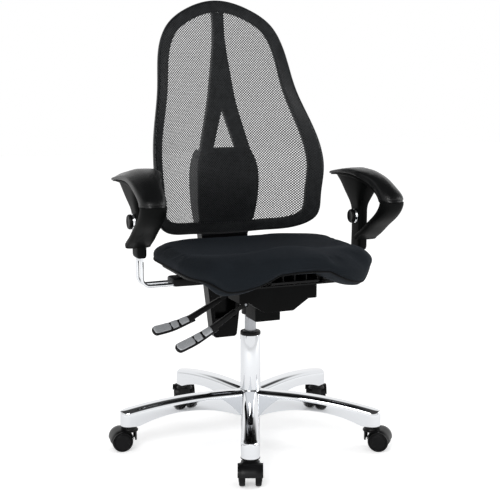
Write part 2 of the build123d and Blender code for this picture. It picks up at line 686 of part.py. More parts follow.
# ---------------------------------------------------------------- backrest
def back_layer(near, far):
    """The layer of the back between two depths behind its front surface."""
    with BuildPart() as layer:
        for height, middle, bend in BACK_STATIONS:
            with BuildSketch(Plane.XY.offset(height)):
                with BuildLine():
                    corners = []
                    for depth in (near, far):
                        radius = bend + depth
                        side = middle - bend + sqrt(radius**2 - SLAB_HALF**2)
                        ThreePointArc((-SLAB_HALF, side), (0, middle + depth), (SLAB_HALF, side))
                        corners.append(side)
                    Line((-SLAB_HALF, corners[0]), (-SLAB_HALF, corners[1]))
                    Line((SLAB_HALF, corners[0]), (SLAB_HALF, corners[1]))
                make_face()
        loft()
    return layer.part


def inset_points(curve, inset, steps, start_share=1.0):
    """Points beside a curve, to its left by an inset that grows from a share of it at the start."""
    points = []
    for step in range(steps + 1):
        along = step / steps
        spot = curve @ along
        heading = curve % along
        here = inset * min(1, start_share + 2 * along)
        points.append((spot.X - here * heading.Y, spot.Y + here * heading.X))
    return points


def back_outline(inset):
    """The backrest's outline from the front, drawn in by an inset."""
    with BuildSketch() as outline:
        with BuildLine():
            edge = Spline(*BACK_OUTLINE, tangents=((1, 0), (-1, 0)), mode=Mode.PRIVATE)
            points = inset_points(edge, inset, OUTLINE_STEPS)
            rail = Line((0, points[0][1]), (RAIL_FLAT, points[0][1]))
            rim = Spline(rail @ 1, *points[1:], tangents=((1, 0), (-1, 0)))
            mirror(about=Plane.YZ)
        make_face()
    return outline.sketch


with BuildPart() as back_frame:
    add(back_layer(0, FRAME_DEPTH))
    with BuildSketch(Plane.XZ):
        add(back_outline(0))
        add(back_outline(FRAME_RIM), mode=Mode.SUBTRACT)
    extrude(amount=400, both=True, mode=Mode.INTERSECT)
back_frame.part.label = "back_frame"
export_step(back_frame.part, "parts/back_frame.step")

with BuildPart() as back_mesh:
    add(back_layer(-MESH - RUN, -RUN))
    with BuildSketch(Plane.XZ):
        add(back_outline(5))
    extrude(amount=400, both=True, mode=Mode.INTERSECT)
back_mesh.part.label = "back_mesh"
export_step(back_mesh.part, "parts/back_mesh.step")

# bar's guide, through the sleeve and the lumbar housing
with BuildPart() as bar_guide:
    with BuildSketch(Plane.XY.offset(SLEEVE_BOTTOM - 1)):
        with Locations((0, BAR_Y)):
            Rectangle(BAR_WIDTH + 2 * GAP, BAR_THICKNESS + 2 * GAP)
    extrude(amount=BAR_TOP + 5 - SLEEVE_BOTTOM)

spine_line = [(x, LUMBAR_TOP + share * (SPINE_TOP - LUMBAR_TOP)) for x, share in SPINE_EDGE]
lumbar_line = [(x, LUMBAR_TOP - share * (LUMBAR_TOP - SLEEVE_TOP)) for x, share in LUMBAR_EDGE]
with BuildPart() as lumbar_block:
    with BuildSketch(Plane.XZ.offset(-SLEEVE_REAR)):
        with BuildLine():
            Line((0, LUMBAR_TOP), lumbar_line[0])
            Spline(*lumbar_line)
            Line(lumbar_line[-1], (0, SLEEVE_TOP))
            mirror(about=Plane.YZ)
        make_face()
    extrude(amount=SLEEVE_REAR - 100)
    add(back_layer(SPINE_NEAR, SPINE_NEAR + 120), mode=Mode.INTERSECT)

with BuildPart() as rail_pocket:
    add(back_layer(-2, FRAME_DEPTH + GAP))
    with BuildSketch(Plane.XY.offset(SLEEVE_TOP - 50)):
        Rectangle(4 * SLAB_HALF, 4 * SLAB_HALF)
    extrude(amount=50 + FRAME_RIM + 9, mode=Mode.INTERSECT)

with BuildPart() as back_spine:
    add(back_layer(SPINE_NEAR, SPINE_FAR))
    with BuildSketch(Plane.XZ):
        with BuildLine():
            Line((0, SPINE_TOP), spine_line[0])
            Spline(*spine_line)
            Line(spine_line[-1], (0, LUMBAR_TOP))
            mirror(about=Plane.YZ)
        make_face()
        with BuildLine():
            hole_top = (0, LUMBAR_TOP + SPINE_HOLE[0][1])
            hole_side = SPINE_HOLE[1][0]
            hole_low = LUMBAR_TOP + SPINE_HOLE[1][1]
            Polyline(hole_top, (hole_side, hole_low), (-hole_side, hole_low), close=True)
        make_face(mode=Mode.SUBTRACT)
        add(back_outline(FRAME_RIM + 0.2), mode=Mode.INTERSECT)
    extrude(amount=400, both=True, mode=Mode.INTERSECT)
    add(lumbar_block.part)
    add(rail_pocket.part, mode=Mode.SUBTRACT)
    add(bar_guide.part, mode=Mode.SUBTRACT)
back_spine.part.label = "back_spine"
export_step(back_spine.part, "parts/back_spine.step")

with BuildPart() as lumbar_pad:
    add(back_layer(SPINE_NEAR - GAP - LUMBAR_PAD, SPINE_NEAR - GAP))
    with BuildSketch(Plane.XZ):
        with BuildLine():
            pad_top = LUMBAR_TOP - 4
            pad_bottom = SLEEVE_TOP + FRAME_RIM + 14
            pad_line = [(x, pad_top - share * (pad_top - pad_bottom)) for x, share in PAD_EDGE]
            Line((0, pad_top), pad_line[0])
            Spline(*pad_line)
            Line(pad_line[-1], (0, pad_bottom))
            mirror(about=Plane.YZ)
        make_face()
    extrude(amount=400, both=True, mode=Mode.INTERSECT)
lumbar_pad.part.label = "lumbar_pad"
export_step(lumbar_pad.part, "parts/lumbar_pad.step")

with BuildPart() as back_sleeve:
    with BuildSketch(Plane.XZ.offset(-SLEEVE_REAR)):
        with BuildLine():
            Polyline(
                (0, SLEEVE_BOTTOM), (SLEEVE_HALF_BOTTOM, SLEEVE_BOTTOM), (SLEEVE_HALF_TOP, SLEEVE_TOP),
                (0, SLEEVE_TOP),
            )
            mirror(about=Plane.YZ)
        make_face()
    extrude(amount=SLEEVE_REAR - SLEEVE_FRONT)
    fillet(back_sleeve.edges().filter_by(Axis.Y).group_by(Axis.Z)[0], radius=9)
    with BuildSketch(Plane.XZ.offset(SLEEVE_WALL - SLEEVE_REAR)):
        with BuildLine():
            rise = (SLEEVE_GUIDE - SLEEVE_BOTTOM) / (SLEEVE_TOP - SLEEVE_BOTTOM)
            guide_half = SLEEVE_HALF_BOTTOM + (SLEEVE_HALF_TOP - SLEEVE_HALF_BOTTOM) * rise
            Polyline(
                (0, SLEEVE_BOTTOM + SLEEVE_WALL), (SLEEVE_HALF_BOTTOM - SLEEVE_WALL, SLEEVE_BOTTOM + SLEEVE_WALL),
                (guide_half - SLEEVE_WALL, SLEEVE_GUIDE), (0, SLEEVE_GUIDE),
            )
            mirror(about=Plane.YZ)
        make_face()
    extrude(amount=SLEEVE_REAR - SLEEVE_FRONT - 2 * SLEEVE_WALL, mode=Mode.SUBTRACT)
    # slot in the front wall: the bar passes through it at every back height
    with BuildSketch(Plane.XZ.offset(-SLEEVE_FRONT - SLEEVE_WALL - 1)):
        slot_bottom = BAR_CORNER - BACK_TRAVEL - 6
        with Locations((0, (slot_bottom + SLEEVE_GUIDE) / 2)):
            Rectangle(BAR_WIDTH + 3, SLEEVE_GUIDE - slot_bottom)
    extrude(amount=SLEEVE_WALL + 3, mode=Mode.SUBTRACT)
    add(bar_guide.part, mode=Mode.SUBTRACT)
back_sleeve.part.label = "back_sleeve"
export_step(back_sleeve.part, "parts/back_sleeve.step")

# ---------------------------------------------------------------- seat
screw_spots = [(x, y) for x in (-110, 110) for y in (-160, 70)]
with BuildPart() as seat_plate:
    with BuildSketch(Plane.XY.offset(PLATE_BOTTOM)):
        with Locations((0, (PLATE_FRONT + PLATE_REAR) / 2)):
            RectangleRounded(2 * PLATE_HALF, PLATE_REAR - PLATE_FRONT, 20)
        with Locations(*screw_spots):
            Circle(SCREW_RADIUS, mode=Mode.SUBTRACT)
    extrude(amount=SHEET)
    for side in (-1, 1):
        with BuildSketch(Plane.YZ.offset(side * EAR_X)):
            with Locations(SEAT_PIVOT):
                Circle(EAR_RADIUS)
            with Locations((SEAT_PIVOT[0], (SEAT_PIVOT[1] + PLATE_BOTTOM + 1) / 2)):
                Rectangle(2 * EAR_RADIUS, PLATE_BOTTOM + 1 - SEAT_PIVOT[1])
            with Locations(SEAT_PIVOT):
                Circle(PIVOT_RADIUS + RUN, mode=Mode.SUBTRACT)
        extrude(amount=SHEET, both=True)
seat_plate.part.label = "seat_plate"
export_step(seat_plate.part, "parts/seat_plate.step")

shell_top = SHELL_BOTTOM + SHELL


def below_wave(drop):
    """Front view of the space under the seat's front edge: two lobes with a hump between."""
    side = SEAT_WIDTH / 2 + 1
    with BuildSketch() as front_view:
        with BuildLine():
            wave = Spline((0, HUMP_BOTTOM - drop), (70, HUMP_BOTTOM - 12 - drop), (LOBE_X, LOBE_BOTTOM + 0.5 - drop),
                          (200, LOBE_BOTTOM + 14 - drop), (side, SIDE_BOTTOM - drop), tangents=((1, 0), (0.6, 1)))
            Polyline(wave @ 1, (side, LOBE_BOTTOM - 30), (0, LOBE_BOTTOM - 30))
            mirror(about=Plane.YZ)
        make_face()
    return front_view.sketch


with BuildPart() as seat_fins:
    with BuildSketch(Plane.XY.offset(shell_top)):
        fin_pitch = (2 * TONGUE_HALF - FIN) / (FIN_COUNT - 1)
        with Locations((0, (TONGUE_FRONT + SHELL_FRONT) / 2 - 1)):
            with GridLocations(fin_pitch, 1, FIN_COUNT, 1):
                Rectangle(FIN, SHELL_FRONT - TONGUE_FRONT - 8)
    extrude(amount=HUMP_BOTTOM - shell_top)
    with BuildSketch(Plane.XZ):
        add(below_wave(GAP))
    extrude(amount=SEAT_LENGTH, mode=Mode.INTERSECT)

with BuildPart() as seat_shell:
    with BuildSketch(Plane.XY.offset(SHELL_BOTTOM)):
        with Locations((0, (SHELL_FRONT + SHELL_REAR) / 2)):
            RectangleRounded(2 * SHELL_HALF, SHELL_REAR - SHELL_FRONT, 90)
        with Locations((0, (TONGUE_FRONT + SHELL_FRONT) / 2)):
            Rectangle(2 * TONGUE_HALF, SHELL_FRONT - TONGUE_FRONT + 2)
    extrude(amount=SHELL)
    # feet that stand the shell on the plate
    with BuildSketch(Plane.XY.offset(PLATE_BOTTOM + SHEET)):
        with Locations(*screw_spots):
            Circle(3 * SCREW_RADIUS)
    extrude(amount=SHELL_BOTTOM - PLATE_BOTTOM - SHEET)
    # fins that carry the raised middle of the seat's front edge
    add(seat_fins.part)
    with BuildSketch(Plane.XY.offset(PLATE_BOTTOM + SHEET)):
        with Locations(*screw_spots):
            Circle(SCREW_RADIUS)
    extrude(amount=SHELL_BOTTOM - PLATE_BOTTOM - SHEET, mode=Mode.SUBTRACT)
seat_shell.part.label = "seat_shell"
export_step(seat_shell.part, "parts/seat_shell.step")

with BuildPart() as seat_screws:
    for spot in screw_spots:
        with BuildSketch(Plane.XY.offset(PLATE_BOTTOM - 3)):
            with Locations(spot):
                Circle(SCREW_HEAD)
        extrude(amount=3)
        with BuildSketch(Plane.XY.offset(PLATE_BOTTOM)):
            with Locations(spot):
                Circle(SCREW_RADIUS)
        extrude(amount=SHELL_BOTTOM - PLATE_BOTTOM - 1)
seat_screws.part.label = "seat_screws"
export_step(seat_screws.part, "parts/seat_screws.step")

seat_front = SEAT_Y - SEAT_LENGTH / 2
seat_rear = SEAT_Y + SEAT_LENGTH / 2
cushion_base = shell_top + GAP
with BuildPart() as seat_cushion:
    with BuildSketch(Plane.YZ.offset(-SEAT_WIDTH / 2)):
        with BuildLine():
            rear = Polyline((seat_rear, cushion_base + 8), (seat_rear, SEAT_TOP - 16))
            back_edge = TangentArc(rear @ 1, (seat_rear - 16, SEAT_TOP), tangent=(0, 1))
            crest = Spline(back_edge @ 1, (SEAT_Y, SEAT_TOP), (seat_front + 90, SEAT_CREST - 1),
                           (seat_front + 50, SEAT_CREST - 5), (seat_front + 14, SEAT_CREST - 32),
                           (seat_front, SEAT_CREST - 68), tangents=((-1, 0), (0, -1)))
            Polyline(crest @ 1, (seat_front + 8, LOBE_BOTTOM), (seat_front + 62, LOBE_BOTTOM),
                     (SHELL_FRONT - 3, cushion_base), (seat_rear - 8, cushion_base), rear @ 0)
        make_face()
    extrude(amount=SEAT_WIDTH)
    with BuildSketch(Plane.XY) as seat_plan:
        with Locations((0, SEAT_Y)):
            Rectangle(SEAT_WIDTH, SEAT_LENGTH)
        fillet(seat_plan.vertices().group_by(Axis.Y)[0], radius=SEAT_CORNER)
        fillet(seat_plan.vertices().group_by(Axis.Y)[-1], radius=SEAT_REAR_CORNER)
    extrude(amount=2 * SEAT_TOP, mode=Mode.INTERSECT)
    # the top's front view: the hump, the lobes' crests and the sides
    with BuildSketch(Plane.XZ.offset(-seat_rear - 1)):
        with BuildLine():
            brow = Spline((0, SEAT_CREST), (62, SEAT_CREST - 6), (LOBE_X, LOBE_CREST), (185, LOBE_CREST - 3),
                          (SEAT_WIDTH / 2 + 1, LOBE_CREST - 6), tangents=((1, 0), (1, -0.15)))
            Polyline(brow @ 1, (SEAT_WIDTH / 2 + 1, LOBE_BOTTOM - 30), (0, LOBE_BOTTOM - 30))
            mirror(about=Plane.YZ)
        make_face()
    extrude(amount=SEAT_LENGTH + 2, mode=Mode.INTERSECT)
    # the front edge hangs in two lobes under the thighs and rises between them
    with BuildSketch(Plane.XZ.offset(-SHELL_FRONT + 3)):
        add(below_wave(0))
    extrude(amount=SEAT_LENGTH, mode=Mode.SUBTRACT)
seat_cushion.part.label = "seat_cushion"
export_step(seat_cushion.part, "parts/seat_cushion.step")

with BuildPart() as armrest_clamps:
    for side in (-1, 1):
        with BuildSketch(Plane.YZ.offset(side * CLAMP_INNER)):
            with Locations((POST_Y, (CLAMP_BOTTOM + SHELL_BOTTOM) / 2)):
                Rectangle(ROD_SPREAD + 18, SHELL_BOTTOM - CLAMP_BOTTOM)
            with Locations((POST_Y - ROD_SPREAD / 2, ROD_Z), (POST_Y + ROD_SPREAD / 2, ROD_Z)):
                Circle(ROD_WIRE + RUN, mode=Mode.SUBTRACT)
        extrude(amount=side * (CLAMP_OUTER - CLAMP_INNER))
armrest_clamps.part.label = "armrest_clamps"
export_step(armrest_clamps.part, "parts/armrest_clamps.step")

# ---------------------------------------------------------------- armrests
post_front = POST_Y - POST_HALF_Y
post_rear = POST_Y + POST_HALF_Y
rod_ys = (POST_Y - ROD_SPREAD / 2, POST_Y + ROD_SPREAD / 2)
strap_bottom = POST_BOTTOM - ARM_DROP + 8
with BuildPart() as rod_frame:
    for rod_y in rod_ys:
        with BuildLine() as rod_line:
            rod_path = FilletPolyline(
                (ROD_INNER, rod_y, ROD_Z), (ARM_X, rod_y, ROD_Z), (ARM_X, rod_y, strap_bottom), radius=ROD_BEND
            )
        with BuildSketch(Plane(origin=rod_path @ 0, z_dir=(1, 0, 0))):
            Circle(ROD_WIRE)
        sweep(path=rod_path)
    with BuildSketch(Plane.YZ.offset(ARM_X)):
        with Locations((POST_Y, (strap_bottom + STRAP_TOP) / 2)):
            Rectangle(STRAP_WIDTH, STRAP_TOP - strap_bottom)
        with Locations((POST_Y, strap_bottom + 5)):
            Rectangle(ROD_SPREAD + 2 * ROD_WIRE, 10)
        slot_low = KNOB_Z - ARM_DROP - BOLT_RADIUS - 3
        slot_high = slot_low + ARM_LIFT + 2 * BOLT_RADIUS + 6
        with Locations((POST_Y, (slot_low + slot_high) / 2)):
            SlotOverall(slot_high - slot_low, 2 * BOLT_RADIUS + 1, rotation=90, mode=Mode.SUBTRACT)
    extrude(amount=STRAP / 2, both=True)


def rest_profile():
    """Side view of the armrest: a post that opens into a loop under the arm pad."""
    with BuildSketch() as side_view:
        with BuildLine():
            crown = Spline(*REST_CROWN, tangents=((-1, 0.25), (0, -1)))
            bow = Spline(crown @ 1, *BOW, (post_front, BOW[-1][1] - 18), tangents=((0, -1), (0.8, -0.6)))
            Polyline(bow @ 1, (post_front, POST_BOTTOM), (post_rear, POST_BOTTOM), (post_rear, FLARE_START - 11))
            Spline((post_rear, FLARE_START - 11), *REST_BACK, REST_TIP_LOW, tangents=((0, 1), (1, 0.1)))
            Line(REST_TIP_LOW, crown @ 0)
        make_face()
    return side_view.sketch


def pad_profile():
    """Side view of the arm pad, a skin of even thickness that thins towards the rear tip."""
    with BuildSketch() as side_view:
        with BuildLine():
            crown = Spline(*REST_CROWN, tangents=((-1, 0.25), (0, -1)))
            under = inset_points(crown, PAD, 8, (REST_CROWN[0][1] - REST_TIP_LOW[1]) / PAD)
            Line(crown @ 1, under[-1])
            Spline(*reversed(under))
            Line(under[0], crown @ 0)
        make_face()
    return side_view.sketch


def loop_window():
    """The armrest's opening, between the pad, the post and the lower bow."""
    edge = post_front - 6
    with BuildSketch() as window:
        with BuildLine():
            bow = Spline((edge, WINDOW_TOP), *WINDOW, (edge, WINDOW_LOW))
            Line(bow @ 1, bow @ 0)
        make_face()
        fillet(window.vertices(), radius=9)
    return window.sketch


def rest_plan(half):
    """Plan of the arm pad, with its two front corners rounded."""
    with BuildSketch(Plane.XY.offset(POST_BOTTOM)) as plan:
        with Locations((0, (REST_CROWN[0][0] + REST_CROWN[-1][0]) / 2)):
            Rectangle(2 * half, REST_CROWN[0][0] - REST_CROWN[-1][0] + 2)
        fillet(plan.vertices().group_by(Axis.Y)[0], radius=REST_CORNER)
    return plan.sketch


rest_top = REST_CROWN[2][1] + 10
with BuildPart() as rest_core:
    with BuildSketch(Plane.YZ.offset(2 - REST_HALF)):
        add(rest_profile())
        add(loop_window(), mode=Mode.SUBTRACT)
        add(pad_profile(), mode=Mode.SUBTRACT)
    extrude(amount=2 * REST_HALF - 4)
    # narrow at the post, as wide as the pad above it
    with BuildSketch(Plane.XZ.offset(POST_HALF_Y - POST_Y - 400)):
        with BuildLine():
            Polyline((0, POST_BOTTOM), (POST_HALF_X, POST_BOTTOM), (POST_HALF_X, FLARE_START),
                     (REST_HALF - 2, FLARE_START + 40), (REST_HALF - 2, rest_top), (0, rest_top))
            mirror(about=Plane.YZ)
        make_face()
    extrude(amount=400, mode=Mode.INTERSECT)

# the bow in front of the post, a broad strap that narrows downwards
with BuildPart() as rest_bow:
    with BuildSketch(Plane.YZ.offset(2 - REST_HALF)):
        add(rest_profile())
        add(loop_window(), mode=Mode.SUBTRACT)
        add(pad_profile(), mode=Mode.SUBTRACT)
    extrude(amount=2 * REST_HALF - 4)
    with BuildSketch(Plane.XZ.offset(POST_HALF_Y - POST_Y - 4)):
        with BuildLine():
            Polyline((0, POST_BOTTOM), (POST_HALF_X, POST_BOTTOM), (STRAP_HALF, BOW[-1][1] - 20),
                     (REST_HALF - 2, SEAM), (REST_HALF - 2, rest_top), (0, rest_top))
            mirror(about=Plane.YZ)
        make_face()
    extrude(amount=400, mode=Mode.INTERSECT)
    add(rest_plan(REST_HALF - 2))
    extrude(amount=rest_top - POST_BOTTOM, mode=Mode.INTERSECT)

with BuildPart() as rest_moulding:
    add(rest_core.part)
    add(rest_bow.part)
    with BuildSketch(Plane.XY.offset(POST_BOTTOM)):
        with Locations((0, POST_Y)):
            Rectangle(STRAP + 2 * GAP, STRAP_WIDTH + 2 * GAP)
    extrude(amount=STRAP_TOP + ARM_DROP + 4 - POST_BOTTOM, mode=Mode.SUBTRACT)
    with BuildSketch(Plane.XY.offset(POST_BOTTOM)):
        with Locations((0, POST_Y)):
            Rectangle(2 * ROD_WIRE + 2 * GAP, ROD_SPREAD + 2 * ROD_WIRE + 2 * GAP)
    extrude(amount=18 + GAP, mode=Mode.SUBTRACT)
    with BuildSketch(Plane.YZ):
        with Locations((POST_Y, KNOB_Z)):
            Circle(BOLT_RADIUS + RUN)
    extrude(amount=2 * POST_HALF_X, both=True, mode=Mode.SUBTRACT)

with BuildPart() as rest_pad:
    with BuildSketch(Plane.YZ.offset(-REST_HALF)):
        add(pad_profile())
    extrude(amount=2 * REST_HALF)
    add(rest_plan(REST_HALF))
    extrude(amount=rest_top - POST_BOTTOM, mode=Mode.INTERSECT)

# clamp knob: star grip on the -X side, its bolt through post and strap
with BuildPart() as clamp_knob:
    knob_face = -POST_HALF_X - GAP
    with BuildSketch(Plane.YZ.offset(knob_face)):
        with Locations((POST_Y, KNOB_Z)):
            Circle(KNOB_RADIUS - 5)
    extrude(amount=-5)
    with BuildSketch(Plane.YZ.offset(knob_face - 5)):
        with Locations((POST_Y, KNOB_Z)):
            Circle(KNOB_RADIUS)
            with PolarLocations(KNOB_RADIUS + 3, KNOB_LOBES):
                Circle(6, mode=Mode.SUBTRACT)
    extrude(amount=5 - KNOB_DEPTH)
    with BuildSketch(Plane.YZ.offset(knob_face)):
        with Locations((POST_Y, KNOB_Z)):
            Circle(BOLT_RADIUS)
    extrude(amount=2 * POST_HALF_X + GAP + BOLT_END)

for side_name, side, drop in (("left", 1, ARM_DROP), ("right", -1, 0)):
    place = Location((side * ARM_X, 0, -drop))
    with BuildPart() as armrest_rods:
        if side > 0:
            add(rod_frame.part)
        else:
            add(mirror(rod_frame.part, about=Plane.YZ, mode=Mode.PRIVATE))
    armrest_rods.part.label = f"armrest_rods_{side_name}"
    export_step(armrest_rods.part, f"parts/armrest_rods_{side_name}.step")
    with BuildPart() as armrest_moulding:
        with Locations(place):
            add(rest_moulding.part)
    armrest_moulding.part.label = f"armrest_moulding_{side_name}"
    export_step(armrest_moulding.part, f"parts/armrest_moulding_{side_name}.step")
    with BuildPart() as armrest_pad:
        with Locations(place):
            add(rest_pad.part)
    armrest_pad.part.label = f"armrest_pad_{side_name}"
    export_step(armrest_pad.part, f"parts/armrest_pad_{side_name}.step")
    with BuildPart() as armrest_knob:
        with Locations(place):
            add(clamp_knob.part)
    armrest_knob.part.label = f"armrest_knob_{side_name}"
    export_step(armrest_knob.part, f"parts/armrest_knob_{side_name}.step")
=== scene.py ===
"""Swivel office chair with a mesh back: finishes, soft parts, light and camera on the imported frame."""
import math

import bmesh
import bpy
import numpy as np
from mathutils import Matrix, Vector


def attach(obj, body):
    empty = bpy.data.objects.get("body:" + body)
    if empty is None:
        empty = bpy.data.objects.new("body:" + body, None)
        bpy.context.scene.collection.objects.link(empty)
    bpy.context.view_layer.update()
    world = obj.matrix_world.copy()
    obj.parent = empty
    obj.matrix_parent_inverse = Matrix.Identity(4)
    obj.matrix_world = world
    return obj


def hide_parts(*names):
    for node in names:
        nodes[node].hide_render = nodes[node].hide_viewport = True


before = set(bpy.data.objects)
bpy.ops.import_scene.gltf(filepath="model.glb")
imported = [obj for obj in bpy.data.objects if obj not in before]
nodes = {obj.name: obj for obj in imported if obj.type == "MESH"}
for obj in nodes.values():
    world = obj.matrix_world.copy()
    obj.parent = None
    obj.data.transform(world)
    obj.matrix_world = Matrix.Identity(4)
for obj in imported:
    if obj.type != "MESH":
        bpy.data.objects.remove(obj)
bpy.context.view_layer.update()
MM = 0.001
PI = math.pi


# ---------------------------------------------------------------- curves and meshes
def curve_through(points, count, start=None, end=None):
    """Points evenly spread in chord length on the cubic curve through given points.

    Each span is a Hermite cubic, and the slopes make the second derivative continuous. A given
    start or end direction fixes the slope there; elsewhere the curve runs out straight.
    """
    p = np.asarray(points, float)
    h = np.linalg.norm(np.diff(p, axis=0), axis=1)
    d = np.diff(p, axis=0) / h[:, None]
    n = len(p)
    a = np.zeros((n, n))
    b = np.zeros_like(p)
    inner = np.arange(1, n - 1)
    a[inner, inner - 1] = h[1:]
    a[inner, inner] = 2 * (h[:-1] + h[1:])
    a[inner, inner + 1] = h[:-1]
    b[1:-1] = 3 * (h[1:, None] * d[:-1] + h[:-1, None] * d[1:])
    for row, near, slope, chord in ((0, 1, start, d[0]), (n - 1, n - 2, end, d[-1])):
        if slope is None:
            a[row, row], a[row, near], b[row] = 2, 1, 3 * chord
        else:
            a[row, row], b[row] = 1, np.asarray(slope, float) / np.linalg.norm(slope)
    m = np.linalg.solve(a, b)
    at = np.r_[0, np.cumsum(h)]
    s = np.linspace(0, at[-1], count)
    k = np.clip(np.searchsorted(at, s, side="right") - 1, 0, n - 2)
    t = ((s - at[k]) / h[k])[:, None]
    w = h[k][:, None]
    return ((2 * t**3 - 3 * t**2 + 1) * p[k] + (t**3 - 2 * t**2 + t) * w * m[k]
            + (3 * t**2 - 2 * t**3) * p[k + 1] + (t**3 - t**2) * w * m[k + 1])


def value_along(xs, ys, x):
    """The height at x of the cubic curve through (xs, ys)."""
    fine = curve_through(np.c_[xs, ys], 400)
    return np.interp(x, fine[:, 0], fine[:, 1])


def beside(path, amount):
    """A flat path moved square to itself, to its left, by an amount."""
    slope = np.gradient(path, axis=0)
    slope /= np.linalg.norm(slope, axis=1)[:, None]
    return path + amount * np.c_[-slope[:, 1], slope[:, 0]]


def smooth_step(x, low, high):
    """0 below low and 1 above high, with level ends: 3t^2 - 2t^3."""
    t = np.clip((x - low) / (high - low), 0, 1)
    return t * t * (3 - 2 * t)


def new_object(name, data):
    """An object in the scene that holds a mesh, a lamp or a camera."""
    made = bpy.data.objects.new(name, data)
    bpy.context.scene.collection.objects.link(made)
    return made


def shade_smooth(mesh, sharp):
    """Smooth shading, except at edges sharper than an angle in degrees."""
    mesh.polygons.foreach_set("use_smooth", np.ones(len(mesh.polygons), bool))
    mesh.set_sharp_from_angle(angle=math.radians(sharp))


def mesh_piece(name, vertices, faces, sharp=40, closed=True):
    """An object from vertices in millimetres and faces, shaded smooth up to an angle."""
    mesh = bpy.data.meshes.new(name)
    mesh.from_pydata((np.asarray(vertices, float) * MM).tolist(), [], [tuple(int(i) for i in f) for f in faces])
    work = bmesh.new()
    work.from_mesh(mesh)
    bmesh.ops.remove_doubles(work, verts=work.verts, dist=1e-6)
    if closed:
        bmesh.ops.recalc_face_normals(work, faces=work.faces)
    work.to_mesh(mesh)
    work.free()
    shade_smooth(mesh, sharp)
    return new_object(name, mesh)


def grid_faces(rows, columns, close_rows=False, close_columns=False, start=0):
    """Quads that join a grid of rows times columns of numbered points."""
    r = np.arange(rows if close_rows else rows - 1)[:, None]
    c = np.arange(columns if close_columns else columns - 1)[None, :]
    r2, c2 = (r + 1) % rows, (c + 1) % columns
    quads = np.stack(np.broadcast_arrays(r * columns + c, r * columns + c2, r2 * columns + c2, r2 * columns + c), -1)
    return (quads.reshape(-1, 4) + start).tolist()


def surface(points, close_rows=False, close_columns=False, caps=False):
    """(vertices, faces) of a grid of points (rows, columns, 3), with its first and last row filled if asked."""
    rows, columns = points.shape[:2]
    faces = grid_faces(rows, columns, close_rows, close_columns)
    if caps:
        faces += [list(range(columns))[::-1], list(range((rows - 1) * columns, rows * columns))]
    return points.reshape(-1, 3), faces


def joined(*shapes):
    """Several (vertices, faces) as one."""
    vertices, faces, count = [], [], 0
    for v, f in shapes:
        vertices.append(np.asarray(v, float))
        faces += [[i + count for i in face] for face in f]
        count += len(v)
    return np.concatenate(vertices), faces


def turned(profile, segments=96, closed=True):
    """Surface of revolution about Z: each (radius, height) of the profile goes round a circle."""
    profile = np.asarray(profile, float)
    a = np.linspace(0, 2 * PI, segments, endpoint=False)
    r, z = profile[:, 0][:, None], profile[:, 1][:, None]
    points = np.stack(np.broadcast_arrays(r * np.cos(a), r * np.sin(a), z), -1)
    return surface(points, close_rows=closed, close_columns=True)


def carried(section, path, wide=(1, 0, 0), closed=False, caps=True, size=None):
    """A section of (across, up) points carried square along a path.

    Across is the fixed direction wide, and up is square to it and to the path's slope. size
    scales the section at each point of the path.
    """
    path = np.asarray(path, float)
    slope = np.gradient(path, axis=0)
    slope /= np.linalg.norm(slope, axis=1)[:, None]
    across = np.broadcast_to(np.asarray(wide, float), path.shape)
    up = np.cross(slope, across)
    up /= np.linalg.norm(up, axis=1)[:, None]
    section = np.asarray(section, float)
    scale = np.ones((len(path), 2)) if size is None else np.asarray(size, float)
    points = (path[:, None] + (section[None, :, 0] * scale[:, :1])[..., None] * across[:, None]
              + (section[None, :, 1] * scale[:, 1:])[..., None] * up[:, None])
    return surface(points, close_rows=closed, close_columns=True, caps=caps and not closed)


def signed_power(c, power):
    """sign(c) |c|^power, which turns a circle's cosines and sines to a superellipse's."""
    return np.sign(c) * np.abs(c) ** power


def rounded_box_section(half_wide, half_high, count=40, power=4.0):
    """A closed superellipse |x/a|^n + |y/b|^n = 1."""
    a = np.linspace(0, 2 * PI, count, endpoint=False)
    c, s = np.cos(a), np.sin(a)
    return np.c_[half_wide * signed_power(c, 2 / power), half_high * signed_power(s, 2 / power)]


def placed(shape, angle=0.0, offset=(0, 0, 0)):
    """(vertices, faces) turned about Z by an angle in degrees, then moved."""
    v, f = shape
    a = math.radians(angle)
    turn = np.array([[math.cos(a), -math.sin(a), 0], [math.sin(a), math.cos(a), 0], [0, 0, 1]])
    return np.asarray(v) @ turn.T + np.asarray(offset, float), f


# ---------------------------------------------------------------- finishes
def linear(code):
    """Linear RGBA from an sRGB hex code."""
    part = [int(code[i:i + 2], 16) / 255 for i in (1, 3, 5)]
    return [c / 12.92 if c <= 0.04045 else ((c + 0.055) / 1.055) ** 2.4 for c in part] + [1.0]


def add_node(tree, kind, inputs=None, **settings):
    """Adds a node: settings are its own, and each input is a value or an output to link from."""
    made = tree.nodes.new(kind)
    for key, value in settings.items():
        setattr(made, key, value)
    for key, value in (inputs or {}).items():
        if isinstance(value, bpy.types.NodeSocket):
            tree.links.new(value, made.inputs[key])
        else:
            made.inputs[key].default_value = value
    return made


def new_finish(name):
    """A material with an empty tree: returns it, its tree and its object coordinates."""
    finish = bpy.data.materials.new(name)
    finish.use_nodes = True
    tree = finish.node_tree
    tree.nodes.clear()
    place = add_node(tree, "ShaderNodeTexCoord").outputs["Object"]
    return finish, tree, place


def close_finish(finish, tree, shell):
    """Links a finish's shader to its output and returns the finish."""
    add_node(tree, "ShaderNodeOutputMaterial", {"Surface": shell.outputs["BSDF"]})
    return finish


